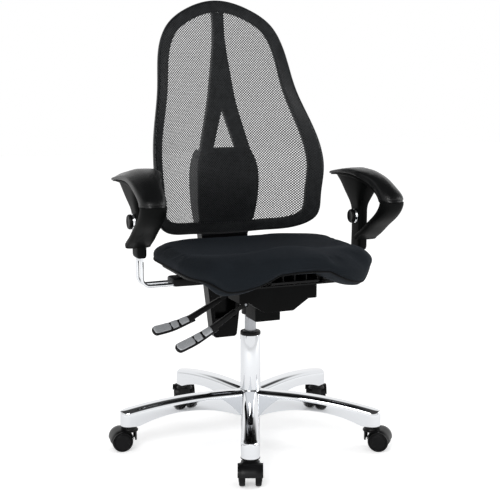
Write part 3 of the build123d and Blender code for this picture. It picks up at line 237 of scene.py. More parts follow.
def mottled(tree, place, low, high, scale, rough=None, detail=3.0):
    """A colour that wanders between two sRGB codes, in so many patches a metre, and a roughness with it."""
    noise = add_node(tree, "ShaderNodeTexNoise", {"Vector": place, "Scale": scale, "Detail": detail})
    ramp = add_node(tree, "ShaderNodeValToRGB", {"Fac": noise.outputs["Fac"]})
    for stop, spot, code in zip(ramp.color_ramp.elements, (0.35, 0.65), (low, high)):
        stop.position, stop.color = spot, linear(code)
    if rough is None:
        return ramp.outputs["Color"], None
    spread = add_node(tree, "ShaderNodeMapRange", {
        "Value": noise.outputs["Fac"], "To Min": rough[0], "To Max": rough[1]})
    return ramp.outputs["Color"], spread.outputs["Result"]


def grain_bump(tree, place, scale, strength, depth, detail=2.0):
    """Bump from noise: depth in metres, scale in grains a metre."""
    grain = add_node(tree, "ShaderNodeTexNoise", {"Vector": place, "Scale": scale, "Detail": detail})
    return add_node(tree, "ShaderNodeBump", {"Height": grain.outputs["Fac"], "Strength": strength,
                                             "Distance": depth}).outputs["Normal"]


def chromium_plate():
    """Bright chromium over polished steel.

    To the eye it is a mirror with a cool tone and faint hazy patches left by the polishing wheel.
    """
    finish, tree, place = new_finish("chromium_plate")
    haze = add_node(tree, "ShaderNodeTexNoise", {"Vector": place, "Scale": 35.0, "Detail": 2.0})
    rough = add_node(tree, "ShaderNodeMapRange", {"Value": haze.outputs["Fac"], "To Min": 0.02, "To Max": 0.07})
    shell = add_node(tree, "ShaderNodeBsdfPrincipled", {
        "Base Color": linear("#e6e8eb"), "Metallic": 1.0, "Roughness": rough.outputs["Result"]})
    return close_finish(finish, tree, shell)


def ground_steel():
    """Ground and hard-plated steel of a gas spring, with rings 2.6 mm apart round the rod.

    To the eye it is satin grey, drawn out along the rod. Real grinding marks are finer than 0.1 mm.
    """
    finish, tree, place = new_finish("ground_steel")
    rings = add_node(tree, "ShaderNodeTexWave", {"Vector": place, "Scale": 120.0, "Distortion": 1.5, "Detail": 2.0},
                     wave_type="BANDS", bands_direction="Z")
    rough = add_node(tree, "ShaderNodeMapRange", {"Value": rings.outputs["Fac"], "To Min": 0.22, "To Max": 0.34})
    shell = add_node(tree, "ShaderNodeBsdfPrincipled", {
        "Base Color": linear("#a4a6aa"), "Metallic": 1.0, "Roughness": rough.outputs["Result"]})
    return close_finish(finish, tree, shell)


def silver_lacquer():
    """Silver lacquer on a moulded trim strip: fine metal flakes, 0.6 mm, under a clear coat.

    To the eye it is a pale satin grey that stays light from every side.
    """
    finish, tree, place = new_finish("silver_lacquer")
    colour, rough = mottled(tree, place, "#94969a", "#c2c5c8", 1600.0, (0.28, 0.4), detail=1.0)
    shell = add_node(tree, "ShaderNodeBsdfPrincipled", {
        "Base Color": colour, "Metallic": 0.25, "Roughness": rough,
        "Coat Weight": 0.4, "Coat Roughness": 0.12})
    return close_finish(finish, tree, shell)


def moulded_plastic(name, dark, light, roughness, grain_mm, relief=0.25, gloss=0.14):
    """Moulded plastic with a fine spark-eroded grain, slightly uneven in tone and gloss.

    To the eye it is black with a soft sheen along edges. gloss is the specular level, below the
    usual 0.5 because the grain swallows most of the highlight.
    """
    finish, tree, place = new_finish(name)
    colour, rough = mottled(tree, place, dark, light, 18.0, (roughness - 0.05, roughness + 0.06))
    shell = add_node(tree, "ShaderNodeBsdfPrincipled", {
        "Base Color": colour, "IOR": 1.5, "Specular IOR Level": gloss, "Roughness": rough,
        "Normal": grain_bump(tree, place, 1000 / grain_mm, relief, grain_mm * 0.0001)})
    return close_finish(finish, tree, shell)


def integral_foam():
    """Black polyurethane foam with a moulded skin of leather-like grain, 1.6 mm cells.

    To the eye it is deep black at the front and shines softly where it turns away over the crown.
    """
    finish, tree, place = new_finish("integral_foam")
    colour, rough = mottled(tree, place, "#0b0c0d", "#101112", 14.0, (0.27, 0.36))
    cells = add_node(tree, "ShaderNodeTexVoronoi", {"Vector": place, "Scale": 620.0}, feature="DISTANCE_TO_EDGE")
    crease = add_node(tree, "ShaderNodeMapRange", {"Value": cells.outputs["Distance"], "From Max": 0.12})
    bump = add_node(tree, "ShaderNodeBump", {"Height": crease.outputs["Result"], "Strength": 0.22,
                                             "Distance": 0.0003})
    shell = add_node(tree, "ShaderNodeBsdfPrincipled", {
        "Base Color": colour, "Roughness": rough, "IOR": 1.5, "Specular IOR Level": 0.32,
        "Normal": bump.outputs["Normal"]})
    return close_finish(finish, tree, shell)


def powder_coat(name, dark, light, roughness):
    """Powder-coated steel with an orange-peel ripple of about 2 mm.

    To the eye it is black, and its highlights are broken up by the ripple.
    """
    finish, tree, place = new_finish(name)
    colour, rough = mottled(tree, place, dark, light, 25.0, (roughness - 0.04, roughness + 0.04))
    shell = add_node(tree, "ShaderNodeBsdfPrincipled", {
        "Base Color": colour, "Roughness": rough, "IOR": 1.5, "Specular IOR Level": 0.18,
        "Normal": grain_bump(tree, place, 500.0, 0.3, 0.0002)})
    return close_finish(finish, tree, shell)


def seat_cloth():
    """Blue-black polyester seat cloth with a dimpled weave.

    To the eye it is matt and nearly black. Its colour is painted lighter and cooler on the raised threads and darker
    in the dimples, as painted light and shade of the weave's relief.

    The weave follows the piece's own map, in millimetres: dimples every 4 mm in staggered rows,
    drawn as the product of two sine waves, with threads of 0.7 mm as noise.
    """
    finish, tree, place = new_finish("seat_cloth")
    flat = add_node(tree, "ShaderNodeUVMap", uv_map="cloth").outputs["UV"]
    parts = add_node(tree, "ShaderNodeSeparateXYZ", {"Vector": flat})
    waves = []
    for first, second in ((1, 1), (1, -1)):
        lean = add_node(tree, "ShaderNodeMath", {0: parts.outputs["Y"], 1: float(second)}, operation="MULTIPLY")
        both = add_node(tree, "ShaderNodeMath", {0: parts.outputs["X"], 1: lean.outputs[0]}, operation="ADD")
        phase = add_node(tree, "ShaderNodeMath", {0: both.outputs[0], 1: 2 * PI / 5.6}, operation="MULTIPLY")
        waves.append(add_node(tree, "ShaderNodeMath", {0: phase.outputs[0]}, operation="SINE").outputs[0])
    dimple = add_node(tree, "ShaderNodeMath", {0: waves[0], 1: waves[1]}, operation="MULTIPLY").outputs[0]
    weave = add_node(tree, "ShaderNodeMapRange", {"Value": dimple, "From Min": -1.0, "From Max": 1.0}).outputs[0]
    thread = add_node(tree, "ShaderNodeTexNoise", {"Vector": place, "Scale": 1400.0, "Detail": 1.0})
    height = add_node(tree, "ShaderNodeMath", {0: thread.outputs["Fac"], 1: 0.5, 2: weave},
                      operation="MULTIPLY_ADD").outputs[0]
    base, _ = mottled(tree, place, "#0d1013", "#12161a", 9.0)
    # Painted light and shade: the colour goes up to halfway towards a lighter blue-grey where the weave stands high,
    # and stays at the dark base in the dimples.
    raised = add_node(tree, "ShaderNodeMapRange", {"Value": weave, "To Min": 0.0, "To Max": 0.5})
    painted_relief_light = add_node(tree, "ShaderNodeMix", {"Factor": raised.outputs["Result"]}, data_type="RGBA")
    tree.links.new(base, painted_relief_light.inputs[6])
    painted_relief_light.inputs[7].default_value = linear("#1f262d")
    bump = add_node(tree, "ShaderNodeBump", {"Height": height, "Strength": 0.45, "Distance": 0.0005})
    shell = add_node(tree, "ShaderNodeBsdfPrincipled", {
        "Base Color": painted_relief_light.outputs[2], "Roughness": 0.86, "Specular IOR Level": 0.12,
        "Normal": bump.outputs["Normal"], "Sheen Weight": 0.07, "Sheen Roughness": 0.45,
        "Sheen Tint": linear("#8b95a6")})
    return close_finish(finish, tree, shell)


def woven_black(name, dark, light, half_pitch_mm):
    """Black woven cloth: plain weave of two crossed waves, a thread every two half pitches.

    To the eye it is matt, with rows of small shadows between the threads. Real threads are finer
    and are drawn as coarse as they need to show.
    """
    finish, tree, place = new_finish(name)
    colour, _ = mottled(tree, place, dark, light, 12.0)
    threads = {"Vector": place, "Scale": 1000 / half_pitch_mm / (2 * PI), "Distortion": 0.4}
    across = add_node(tree, "ShaderNodeTexWave", threads, bands_direction="X")
    along = add_node(tree, "ShaderNodeTexWave", threads, bands_direction="Z")
    weave = add_node(tree, "ShaderNodeMath", {0: across.outputs["Fac"], 1: along.outputs["Fac"]},
                     operation="MULTIPLY")
    bump = add_node(tree, "ShaderNodeBump", {"Height": weave.outputs[0], "Strength": 0.4, "Distance": 0.0004})
    shell = add_node(tree, "ShaderNodeBsdfPrincipled", {
        "Base Color": colour, "Roughness": 0.85, "Specular IOR Level": 0.1, "Normal": bump.outputs["Normal"],
        "Sheen Weight": 0.05, "Sheen Roughness": 0.4})
    return close_finish(finish, tree, shell)


def net_yarn():
    """Black polyester yarn of the back's net.

    To the eye it is neutral black, slightly glossy along the thread.
    """
    finish, tree, place = new_finish("net_yarn")
    colour, rough = mottled(tree, place, "#17191b", "#252729", 60.0, (0.42, 0.6))
    shell = add_node(tree, "ShaderNodeBsdfPrincipled", {
        "Base Color": colour, "Roughness": rough, "Specular IOR Level": 0.25})
    return close_finish(finish, tree, shell)


CHROME = chromium_plate()
STEEL = ground_steel()
SILVER = silver_lacquer()
HOOD_PLASTIC = moulded_plastic("castor_nylon", "#0c0c0d", "#121213", 0.33, 1.2, gloss=0.2)
WHEEL_PLASTIC = moulded_plastic("wheel_nylon", "#0d0d0e", "#141415", 0.45, 1.2, gloss=0.12)
COVER_PLASTIC = moulded_plastic("moulded_abs", "#090909", "#0d0e0e", 0.45, 1.6, 0.4, 0.06)
SLEEVE_PLASTIC = moulded_plastic("glossy_abs", "#070708", "#0b0b0c", 0.2, 2.5, 0.12, 0.07)
SPINE_PLASTIC = moulded_plastic("spine_polyamide", "#181a1c", "#222427", 0.42, 1.8, 0.3, 0.3)
GRIP_PLASTIC = moulded_plastic("grip_nylon", "#0b0b0c", "#111112", 0.4, 1.4, gloss=0.14)
FRAME_PLASTIC = moulded_plastic("frame_polyamide", "#131517", "#1c1e20", 0.36, 1.8, 0.4, 0.26)
ARM_PLASTIC = moulded_plastic("arm_polypropylene", "#090a0a", "#0e0f0f", 0.45, 1.4, 0.4, 0.05)
SHELL_PLASTIC = moulded_plastic("shell_polypropylene", "#0d0d0e", "#141415", 0.5, 2.0, 0.4, 0.2)
ARM_FOAM = integral_foam()
BLACK_STEEL = powder_coat("powder_coat_black", "#0c0c0d", "#131314", 0.4)
SEAT_CLOTH = seat_cloth()
PIPING = woven_black("piping_cord", "#0a0a0b", "#101112", 1.6)
LUMBAR_CLOTH = woven_black("lumbar_cloth", "#0d0e10", "#151618", 3.0)
NET = net_yarn()


def dress(piece, body, finish, slot, *stands_for):
    """A piece's finish, its body, and the CAD nodes that it stands for; slot is not used."""
    piece.data.materials.clear()
    piece.data.materials.append(finish)
    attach(piece, body)
    if stands_for:
        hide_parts(*stands_for)
    return piece


def add_piece(name, shape, body, finish, slot, *stands_for, sharp=40, closed=True):
    """A new piece from a shape, dressed: its finish and body, and the CAD nodes that it stands for."""
    return dress(mesh_piece(name, *shape, sharp=sharp, closed=closed), body, finish, slot, *stands_for)


def finish_node(finish, *names):
    """A finish on CAD nodes that are shown as they are."""
    for name in names:
        for place in nodes[name].material_slots:
            place.material = finish


def softened(node, width_mm, segments, body, finish, slot, angle=35):
    """A merged copy of a CAD node with its edges rounded by a Bevel modifier, dressed in its place."""
    mesh = nodes[node].data.copy()
    mesh.name = node + "_rounded"
    work = bmesh.new()
    work.from_mesh(mesh)
    bmesh.ops.remove_doubles(work, verts=work.verts, dist=1e-6)
    bmesh.ops.dissolve_limit(work, angle_limit=math.radians(1), verts=work.verts, edges=work.edges)
    work.to_mesh(mesh)
    work.free()
    made = new_object(node + "_rounded", mesh)
    edge = made.modifiers.new("edges", "BEVEL")
    edge.width, edge.segments, edge.limit_method = width_mm * MM, segments, "ANGLE"
    edge.angle_limit = math.radians(angle)
    edge.harden_normals = True
    shade_smooth(mesh, angle)
    return dress(made, body, finish, slot, node)


# ---------------------------------------------------------------- star base and column
ARM_WIDTH, ARM_END, STEM, FOOT, HUB_TOP = 43.0, 330.5, 309.0, 60.0, 122.0
ARM_ANGLES = [-112.5 + 72 * n for n in range(5)]
CROWN = 15.0


def arm_top(r):
    """Height of an arm's ridge: level to 90 mm, then an arc that falls to 96 mm at the end."""
    drop = HUB_TOP - 96.0
    span = ARM_END - 90.0
    bend = (span**2 + drop**2) / (2 * drop)
    return HUB_TOP - np.where(r > 90, bend - np.sqrt(bend**2 - np.clip(r - 90, 0, None) ** 2), 0)


def arm_foot(r):
    """Height of an arm's lower edge: a shallow arch between hub and castor socket."""
    near, far, rise = 34.0, 287.5, 26.0
    half = (far - near) / 2
    bend = (half**2 + rise**2) / (2 * rise)
    off = np.clip(np.abs(r - (near + far) / 2), 0, half)
    return FOOT + np.sqrt(bend**2 - off**2) - (bend - rise)


def base_arm():
    """One arm of pressed steel: an inverted U carried outwards.

    At each radius the section goes up one side, over a crown that is a quarter superellipse each
    side of the ridge, down the other side, and back along the inside, 2.5 mm in. Past the castor
    stem its width follows a half circle, so the tip is round.
    """
    r = np.r_[np.linspace(8, 90, 10), np.linspace(100, STEM, 30),
              STEM + (ARM_WIDTH / 2 - 0.02) * np.sin(np.linspace(0, PI / 2, 14)[1:])]
    half = np.where(r > STEM, np.sqrt(np.clip((ARM_WIDTH / 2) ** 2 - np.clip(r - STEM, 0, None) ** 2, 0, None)),
                    ARM_WIDTH / 2)
    a = np.linspace(0, PI, 25)
    across = signed_power(np.cos(a), 0.62)
    rise = np.abs(np.sin(a)) ** 0.8
    loops = []
    for wall in (0.0, 2.5):
        width = np.clip(half - wall, 0.01, None)[:, None]
        ridge, foot = (arm_top(r) - wall)[:, None], arm_foot(r)[:, None]
        x = width * across
        z = ridge - CROWN + CROWN * rise
        side = np.stack([np.broadcast_to(r[:, None], x.shape), x, z], -1)
        low_a = np.stack([r[:, None], width, foot], -1)
        low_b = np.stack([r[:, None], -width, foot], -1)
        loop = np.concatenate([low_a, side, low_b], 1)
        loops.append(loop if wall == 0 else loop[:, ::-1])
    return surface(np.concatenate(loops, 1), close_columns=True, caps=True)


def arm_socket():
    """The castor's socket: a tube that hangs inside the arm's tip."""
    top = 93.0
    return placed(turned([(5.6, FOOT), (9.0, FOOT), (9.0, top), (5.6, top)], 32), offset=(STEM, 0, 0))


def base_hub():
    """The hub: a turned ring with a sloping shoulder and a step that the column stands in."""
    profile = [(25.3, 62), (33, 62), (33.6, 64), (34, 70), (34, 108), (33.2, 110.2), (31.4, 113.4), (27.2, 121.6),
               (26.2, 123.2), (25.2, 122.6)]
    return turned(profile, 72)


add_piece("star_base_chromed", joined(
    base_hub(), *[placed(base_arm(), a) for a in ARM_ANGLES], *[placed(arm_socket(), a) for a in ARM_ANGLES]),
    "base", CHROME, "chrome", "star_base", sharp=50)
add_piece("column_tube_chromed", turned(
    [(5.5, 50), (23.6, 50), (23.9, 51), (25, 124), (25, 260.5), (24.6, 261.8), (24, 262), (22.2, 262), (22, 261),
     (22, 53), (5.5, 53)], 128), "base", CHROME, "chrome", "column_tube", sharp=50)
add_piece("column_collar_turned", turned(
    [(14.2, 192), (21.9, 192), (21.9, 262.1), (25, 262.1), (25.3, 262.6), (25.3, 268.0), (24.8, 269.6),
     (23.4, 270.8), (15.4, 271), (14.2, 270)], 96), "base", GRIP_PLASTIC, "collar_plastic", "column_collar", sharp=50)
add_piece("gas_cylinder_ground", turned(
    [(5.1, 84), (13, 84), (14, 85), (14, 317.8), (13, 345), (4.1, 345), (4.1, 329), (12, 329), (12, 90), (5.1, 90)],
    96), "mechanism", STEEL, "grey_steel", "gas_cylinder", sharp=50)

# ---------------------------------------------------------------- castors
TRAIL, WHEEL_RADIUS, WHEEL_OUT, HOOD_RADIUS = 20.0, 25.0, 27.5, 28.4


def hood_shell():
    """A castor's hood, with the stem at the origin and the axle along Y at 20 mm out.

    A ring section, rounded at the shoulders, goes round the axle from one lower lip over the top
    to the other, and the space between the wheels is a plate with the same outline. The neck is
    turned about the stem, with a thin flange under the arm, and the rear quarter of its wall goes
    on down behind the wheels.
    """
    a = np.linspace(math.radians(6), math.radians(170), 60)
    s = np.linspace(-1, 1, 25)
    outer = HOOD_RADIUS - 5.0 * np.abs(s) ** 5
    inner = np.full(9, 25.8)
    y = np.r_[(WHEEL_OUT + 0.8) * s, np.linspace(WHEEL_OUT + 0.8, -WHEEL_OUT - 0.8, 9)]
    ring = np.r_[np.maximum(outer, 25.9), inner]
    band = np.stack(np.broadcast_arrays(TRAIL + ring[None, :] * np.cos(a)[:, None], y[None, :],
                                        WHEEL_RADIUS + ring[None, :] * np.sin(a)[:, None]), -1)
    edge = np.c_[TRAIL + 26.6 * np.cos(a), WHEEL_RADIUS + 26.6 * np.sin(a)]
    plate = np.stack([np.c_[edge[:, 0], np.full(60, w), edge[:, 1]] for w in (-10.6, 10.6)], 0)
    neck = [(0.0, 59.2), (21.4, 59.2), (22.2, 58.8), (22.2, 57.8), (21.0, 57.4), (18.8, 57.0), (18.5, 56.0),
            (18.5, 52.0), (19.6, 50.0), (21.4, 48.6), (21.4, 46.0), (4.2, 46.0), (4.2, 40), (0.0, 40)]
    w = np.linspace(math.radians(180 - 44), math.radians(180 + 44), 21)
    depth = 24 - 4 * np.cos(w - PI) ** 6
    wall = np.stack([np.c_[r * np.cos(w), r * np.sin(w), z] for r, z in (
        (18.2, np.full(21, 52.0)), (18.2, depth + 2), (17.6, depth), (16.2, depth), (15.6, depth + 2),
        (15.6, np.full(21, 52.0)))], 0)
    return joined(surface(band, close_columns=True, caps=True), surface(plate, close_columns=True, caps=True),
                  turned(neck, 56, closed=False), surface(wall.transpose(1, 0, 2), close_columns=True, caps=True))


def castor_wheel(side):
    """A wheel turned about the castor's axle: crowned tread, recessed face with a raised hub cap."""
    profile = np.array([
        (3.05, 11.0), (9, 11.0), (22, 11.3), (24, 12.0), (24.8, 13.6), (25, 16.5), (25, 20), (24.7, 22.6),
        (23.6, 24.2), (22.2, 24.9), (20.6, 25.1), (20.1, 24.4), (19.4, 24.1), (18.6, 24.6), (17.5, 25.6),
        (14, 26.3), (8, 26.8), (0.05, 27.0), (0.05, 24.3), (3.05, 24.3)])
    v, f = turned(profile, 72)
    v = np.asarray(v)
    return np.c_[TRAIL + v[:, 0], side * v[:, 2], WHEEL_RADIUS + v[:, 1]], f


TURNS = (0.0, 0.0, 36.0, -26.0, 0.0)    # each castor's rest angle about its stem
for number, (arm_angle, turn) in enumerate(zip(ARM_ANGLES, TURNS), 1):
    base_spot = (STEM * math.cos(math.radians(arm_angle)), STEM * math.sin(math.radians(arm_angle)), 0)
    angle = arm_angle + turn
    add_piece(f"castor_hood_{number}_moulded", placed(hood_shell(), angle, base_spot),
              f"caster_{number}", HOOD_PLASTIC, "caster_plastic", f"caster_hood_{number}")
    for letter, side in (("a", 1), ("b", -1)):
        add_piece(f"castor_wheel_{number}{letter}_moulded", placed(castor_wheel(side), angle, base_spot),
                  f"wheel_{number}{letter}", WHEEL_PLASTIC, "wheel_plastic", f"caster_wheel_{number}{letter}")
    finish_node(STEEL, f"caster_axle_{number}")
finish_node(STEEL, "caster_stems", "thrust_bearing", "piston_rod", "retaining_clip", "release_pin", "pivot_shafts",
            "seat_screws")

# ---------------------------------------------------------------- mechanism and levers
softened("mechanism_cover", 2.0, 3, "mechanism", COVER_PLASTIC, "grey_plastic")
softened("mechanism_housing", 0.8, 2, "mechanism", BLACK_STEEL, "black_steel")
finish_node(BLACK_STEEL, "lift_lever_arm", "tilt_lever_arm")

LEVERS = (("lift_lever", 0.0, (-46.0, 374.0), (-158.0, 316.0), (-252.0, 293.0)),
          ("tilt_lever", -75.0, (-46.0, 357.0), (-127.0, 306.0), (-218.0, 264.0)))
LEAN = math.radians(38)    # a grip's top leans forward


def leaned(shape, spot, way):
    """(vertices, faces) turned by LEAN about a line, by Rodrigues' formula: the top goes to -Y."""
    v, f = shape
    k = np.asarray(way, float) / np.linalg.norm(way)
    rel = np.asarray(v, float) - spot
    turned_rel = (rel * math.cos(LEAN) + np.cross(k, rel) * math.sin(-LEAN)
                  + np.outer(rel @ k, k) * (1 - math.cos(LEAN)))
    return turned_rel + spot, f


for lever, lever_y, pivot, knee, tip in LEVERS:
    spot = np.array([knee[0], lever_y, knee[1]])
    way = np.array([tip[0] - knee[0], 0.0, tip[1] - knee[1]])
    middle = ((knee[0] + tip[0]) / 2, (knee[1] + tip[1]) / 2 - 3)
    core = curve_through([(knee[0] + 10, knee[1] + 7), middle, (tip[0], tip[1] + 3)], 60) - [0, 6.0]
    along = np.linspace(0, 1, len(core))
    path = np.c_[core[:, 0], np.full(len(core), lever_y), core[:, 1]]
    ends = np.sqrt(np.clip(1 - smooth_step(along, 0.9, 1.02) ** 2, 0.05, 1))
    swell = (0.8 + 0.2 * smooth_step(along, 0.1, 0.6)) * ends
    deep = (1.1 - 0.15 * smooth_step(along, 0.0, 0.45)) * ends
    blade = leaned(carried(rounded_box_section(13.0, 6.0, 40, 3.0), path, (0, 1, 0), size=np.c_[swell, deep]),
                   spot, way)
    share = np.linspace(0.3, 1.04, 16)[:, None]
    bar = np.array([pivot[0], lever_y, pivot[1]]) * (1 - share) + spot * share
    thick = (0.8 + 0.35 * share[:, 0])
    sleeve = carried(rounded_box_section(6.4, 6.4, 32, 4.0), bar, (0, 1, 0), size=np.c_[thick, thick])
    add_piece(lever + "_grip_moulded", joined(blade, sleeve), lever, GRIP_PLASTIC, "grip_plastic", lever + "_handle")
    strips = []
    for first, last in ((0.13, 0.37), (0.385, 0.56), (0.575, 0.985)):
        keep = (along > first) & (along < last)
        strip = path[keep] + [0, 0, 6.0]
        t = np.linspace(0, 1, len(strip))
        round_end = np.sqrt(np.clip(1 - np.abs(2 * t - 1) ** 14, 0.02, 1))
        wide = round_end * swell[keep]
        strips.append(leaned(carried(rounded_box_section(11.2, 2.2, 40, 2.4), strip, (0, 1, 0),
                                     size=np.c_[wide, round_end]), spot, way))
    add_piece(lever + "_inlay_silvered", joined(*strips), lever, SILVER, "chrome", lever + "_inlay")

# ---------------------------------------------------------------- backrest
STATIONS = np.array([
    (450, 175, 266), (530, 163, 266), (600, 153, 282), (650, 153, 285), (700, 163, 282), (760, 174, 290),
    (820, 183, 318), (900, 192, 460), (980, 201, 800), (1040, 208, 1150), (1110, 231, 1600)], float)
OUTLINE = [(0, 488), (100, 495), (184, 512), (209, 534), (219, 590), (225, 670), (214, 758), (186, 862), (164, 978),
           (141, 1020), (89, 1059), (0, 1083)]


def back_y(x, z, depth=0.0):
    """Y of the back's surface, so far behind its front: arcs whose middle and bend change with height."""
    middle = value_along(STATIONS[:, 0], STATIONS[:, 1], z)
    bend = 1 / value_along(STATIONS[:, 0], 1e3 / STATIONS[:, 2], z) * 1e3
    bend = np.maximum(bend, 260.0)
    return middle - bend + np.sqrt(np.clip((bend + depth) ** 2 - x**2, 1, None))


def on_back(x, z, depth=0.0):
    """Points on the back at (x, z), so far behind its front surface."""
    return np.stack([x, back_y(x, z, depth), z], -1)


def outline(inset, count=120):
    """The backrest's closed outline, drawn in by an inset, from the bottom round by +X."""
    half = curve_through(OUTLINE, count, (1, 0), (-1, 0))
    half = beside(half, inset)
    half[[0, -1], 0] = 0
    other = half[-2:0:-1] * [-1, 1]
    return np.concatenate([half, other])


def back_rim():
    """The frame: a closed superellipse section, 30 mm by 15 mm, goes round the outline.

    Its width runs from the outline inwards along the back's surface, and its height runs from
    that surface to the rear.
    """
    a = np.linspace(0, 2 * PI, 32, endpoint=False)
    inset = 15.6 - 15.2 * signed_power(np.cos(a), 0.5)
    depth = 7.4 - 7.4 * signed_power(np.sin(a), 0.6)
    rows = [on_back(*outline(i).T, depth=d) for i, d in zip(inset, depth)]
    return surface(np.stack(rows, 1), close_rows=True, close_columns=True)


add_piece("back_frame_moulded", back_rim(), "backrest", FRAME_PLASTIC, "frame_plastic", "back_frame", sharp=60)


def inside(points, loop):
    """Which (x, z) points lie in a closed loop, by counting the loop's crossings to the right."""
    x, z = points[:, :1], points[:, 1:]
    ax, az = loop[:, 0][None], loop[:, 1][None]
    bx, bz = np.roll(loop[:, 0], -1)[None], np.roll(loop[:, 1], -1)[None]
    spans = (az > z) != (bz > z)
    cut = ax + (z - az) * (bx - ax) / np.where(bz == az, 1e-9, bz - az)
    return ((spans & (x < cut)).sum(1) % 2).astype(bool)


def back_net():
    """The stretched net: yarns cross every 4.6 mm on two diagonals and leave diamond holes.

    Each crossing is a small square turned by 45 degrees, and each link between two crossings is
    a strip. Every vertex is laid on the back's front surface, with a second layer 1 mm behind.
    """
    pitch, half = 4.6, 0.8
    n = 140
    i, j = np.meshgrid(np.arange(-n, n + 1), np.arange(-n, n + 1), indexing="ij")
    diagonal = np.sqrt(0.5)
    cx, cz = (i + j) * pitch * diagonal, 790 + (j - i) * pitch * diagonal
    inner = inside(np.c_[cx.ravel(), cz.ravel()], outline(4.5)).reshape(cx.shape)
    order = -np.ones(cx.shape, int)
    order[inner] = np.arange(inner.sum())
    centre = np.c_[cx[inner], cz[inner]]
    corner = np.array([(0, -1), (1, 0), (0, 1), (-1, 0)]) * half / diagonal
    flat = (centre[:, None] + corner[None]).reshape(-1, 2)
    front = on_back(flat[:, 0], flat[:, 1], -1.35)
    rear = on_back(flat[:, 0], flat[:, 1], -0.25)
    count = len(flat)
    near = np.arange(0, count, 4)
    quads = [np.c_[near, near + 1, near + 2, near + 3]]
    walls = []
    for step, (a, b), (c, d) in (((1, 0), (0, 1), (3, 2)), ((0, 1), (1, 2), (0, 3))):
        here = order[: order.shape[0] - step[0], : order.shape[1] - step[1]]
        there = order[step[0]:, step[1]:]
        linked = (here >= 0) & (there >= 0)
        p, q = 4 * here[linked], 4 * there[linked]
        quads.append(np.c_[p + a, q + c, q + d, p + b])
        walls += [np.c_[p + a, q + c], np.c_[q + d, p + b]]
        lone_p, lone_q = 4 * here[(here >= 0) & (there < 0)], 4 * there[(here < 0) & (there >= 0)]
        walls += [np.c_[lone_p + a, lone_p + b], np.c_[lone_q + d, lone_q + c]]
    quads, walls = np.concatenate(quads), np.concatenate(walls)
    faces = np.concatenate([quads, quads[:, ::-1] + count, np.c_[walls[:, ::-1], walls + count]])
    return np.concatenate([front, rear]), faces.tolist()


net = add_piece("back_net_knitted", back_net(), "backrest", NET, "mesh_fabric", "back_mesh", sharp=30, closed=False)
finish_node(STEEL, "back_bar")

softened("back_sleeve", 2.0, 3, "backrest", SLEEVE_PLASTIC, "grey_plastic")
softened("back_spine", 1.2, 2, "backrest", SPINE_PLASTIC, "grey_plastic")


def lumbar_form():
    """The lumbar pad: rings shrink from a superellipse outline, flat towards the net and round at the edge.

    The half width changes with height, and the depth behind the back's surface grows towards
    the outline with the twelfth power of the ring.
    """
    a = np.linspace(0, 2 * PI, 96, endpoint=False)
    out_x, out_z = signed_power(np.cos(a), 0.3), signed_power(np.sin(a), 0.3)
    ring = np.r_[0.0, np.linspace(0.12, 0.9, 14), 0.94, 0.97, 0.99, 1.0]
    rows = []
    for rings, near, far in ((ring, 1.4, 3.4), (ring[::-1], 5.5, 3.4)):
        s = rings[:, None]
        z = 616.5 + 84.5 * s * out_z
        half = value_along([531, 575, 620, 661, 702], [74, 79, 80, 78, 64], z)
        x = half * s * out_x
        rows.append(on_back(x, z, near + (far - near) * s**12))
    return surface(np.concatenate([rows[0], rows[1][1:]]), close_columns=True)


lumbar = add_piece("lumbar_pad_padded", lumbar_form(), "backrest", LUMBAR_CLOTH, "lumbar_foam", "lumbar_pad")

# ---------------------------------------------------------------- seat
SEAT_Y, SEAT_WIDE, SEAT_LONG, SEAT_BASE = -93.0, 482.0, 470.0, 444.0
FRONT_CORNER, REAR_CORNER = 190.0, 125.0
LOBE_DROP, HUMP_RISE = 52.4, 60.6    # how far the front lobes hang, and how high the wave rises above them


def seat_plan(count):
    """The seat's outline from above: a rectangle with round corners, as points at even steps."""
    hx, hy, b, c = SEAT_WIDE / 2, SEAT_LONG / 2, REAR_CORNER, FRONT_CORNER
    arc = np.linspace(0, PI / 2, 60)
    parts = [np.c_[sx + r * np.cos(arc + turn), sy + r * np.sin(arc + turn)] for sx, sy, r, turn in (
        (hx - b, hy - b, b, 0), (b - hx, hy - b, b, PI / 2), (c - hx, c - hy, c, PI), (hx - c, c - hy, c, 3 * PI / 2))]
    loop = np.concatenate(parts + [parts[0][:1]])
    gone = np.r_[0, np.cumsum(np.linalg.norm(np.diff(loop, axis=0), axis=1))]
    at = np.linspace(0, gone[-1], count, endpoint=False)
    return np.c_[np.interp(at, gone, loop[:, 0]), np.interp(at, gone, loop[:, 1])]


def wave(x):
    """Height of the lower edge's wave over its lobes: a hump in the middle and a rise to the sides."""
    return 84.5 * np.exp(-((x / 106) ** 2)) + 40.6 * smooth_step(np.abs(x), 162, 214.6)


def seat_heights(x, y):
    """Top, rim and underside of the cushion at (x, y), from its centre.

    The top is a shallow dish, 9 mm lower in the middle than at its rim, and the rim is higher at
    the sides. Towards the front it rises to a brow: a hump over the wave's and two lower lobes.
    The rim and the underside follow the wave too.
    """
    front = smooth_step(-y, 20, 140)
    tuck = smooth_step(-y, 47, 145)
    dish = 482 + 9 * np.clip((x / 241) ** 2 + (y / 235) ** 2, 0, 1) + 5 * smooth_step(np.abs(x), 150, 241)
    brow = 502 + 12 * np.exp(-((x / 66) ** 2)) - 6 * smooth_step(np.abs(x), 185, 241)
    top = dish + front * (brow - dish)
    under = SEAT_BASE + tuck * (np.clip(wave(x), 0, HUMP_RISE) - LOBE_DROP)
    return top, (0.55 * top + 0.45 * under) + 2, under


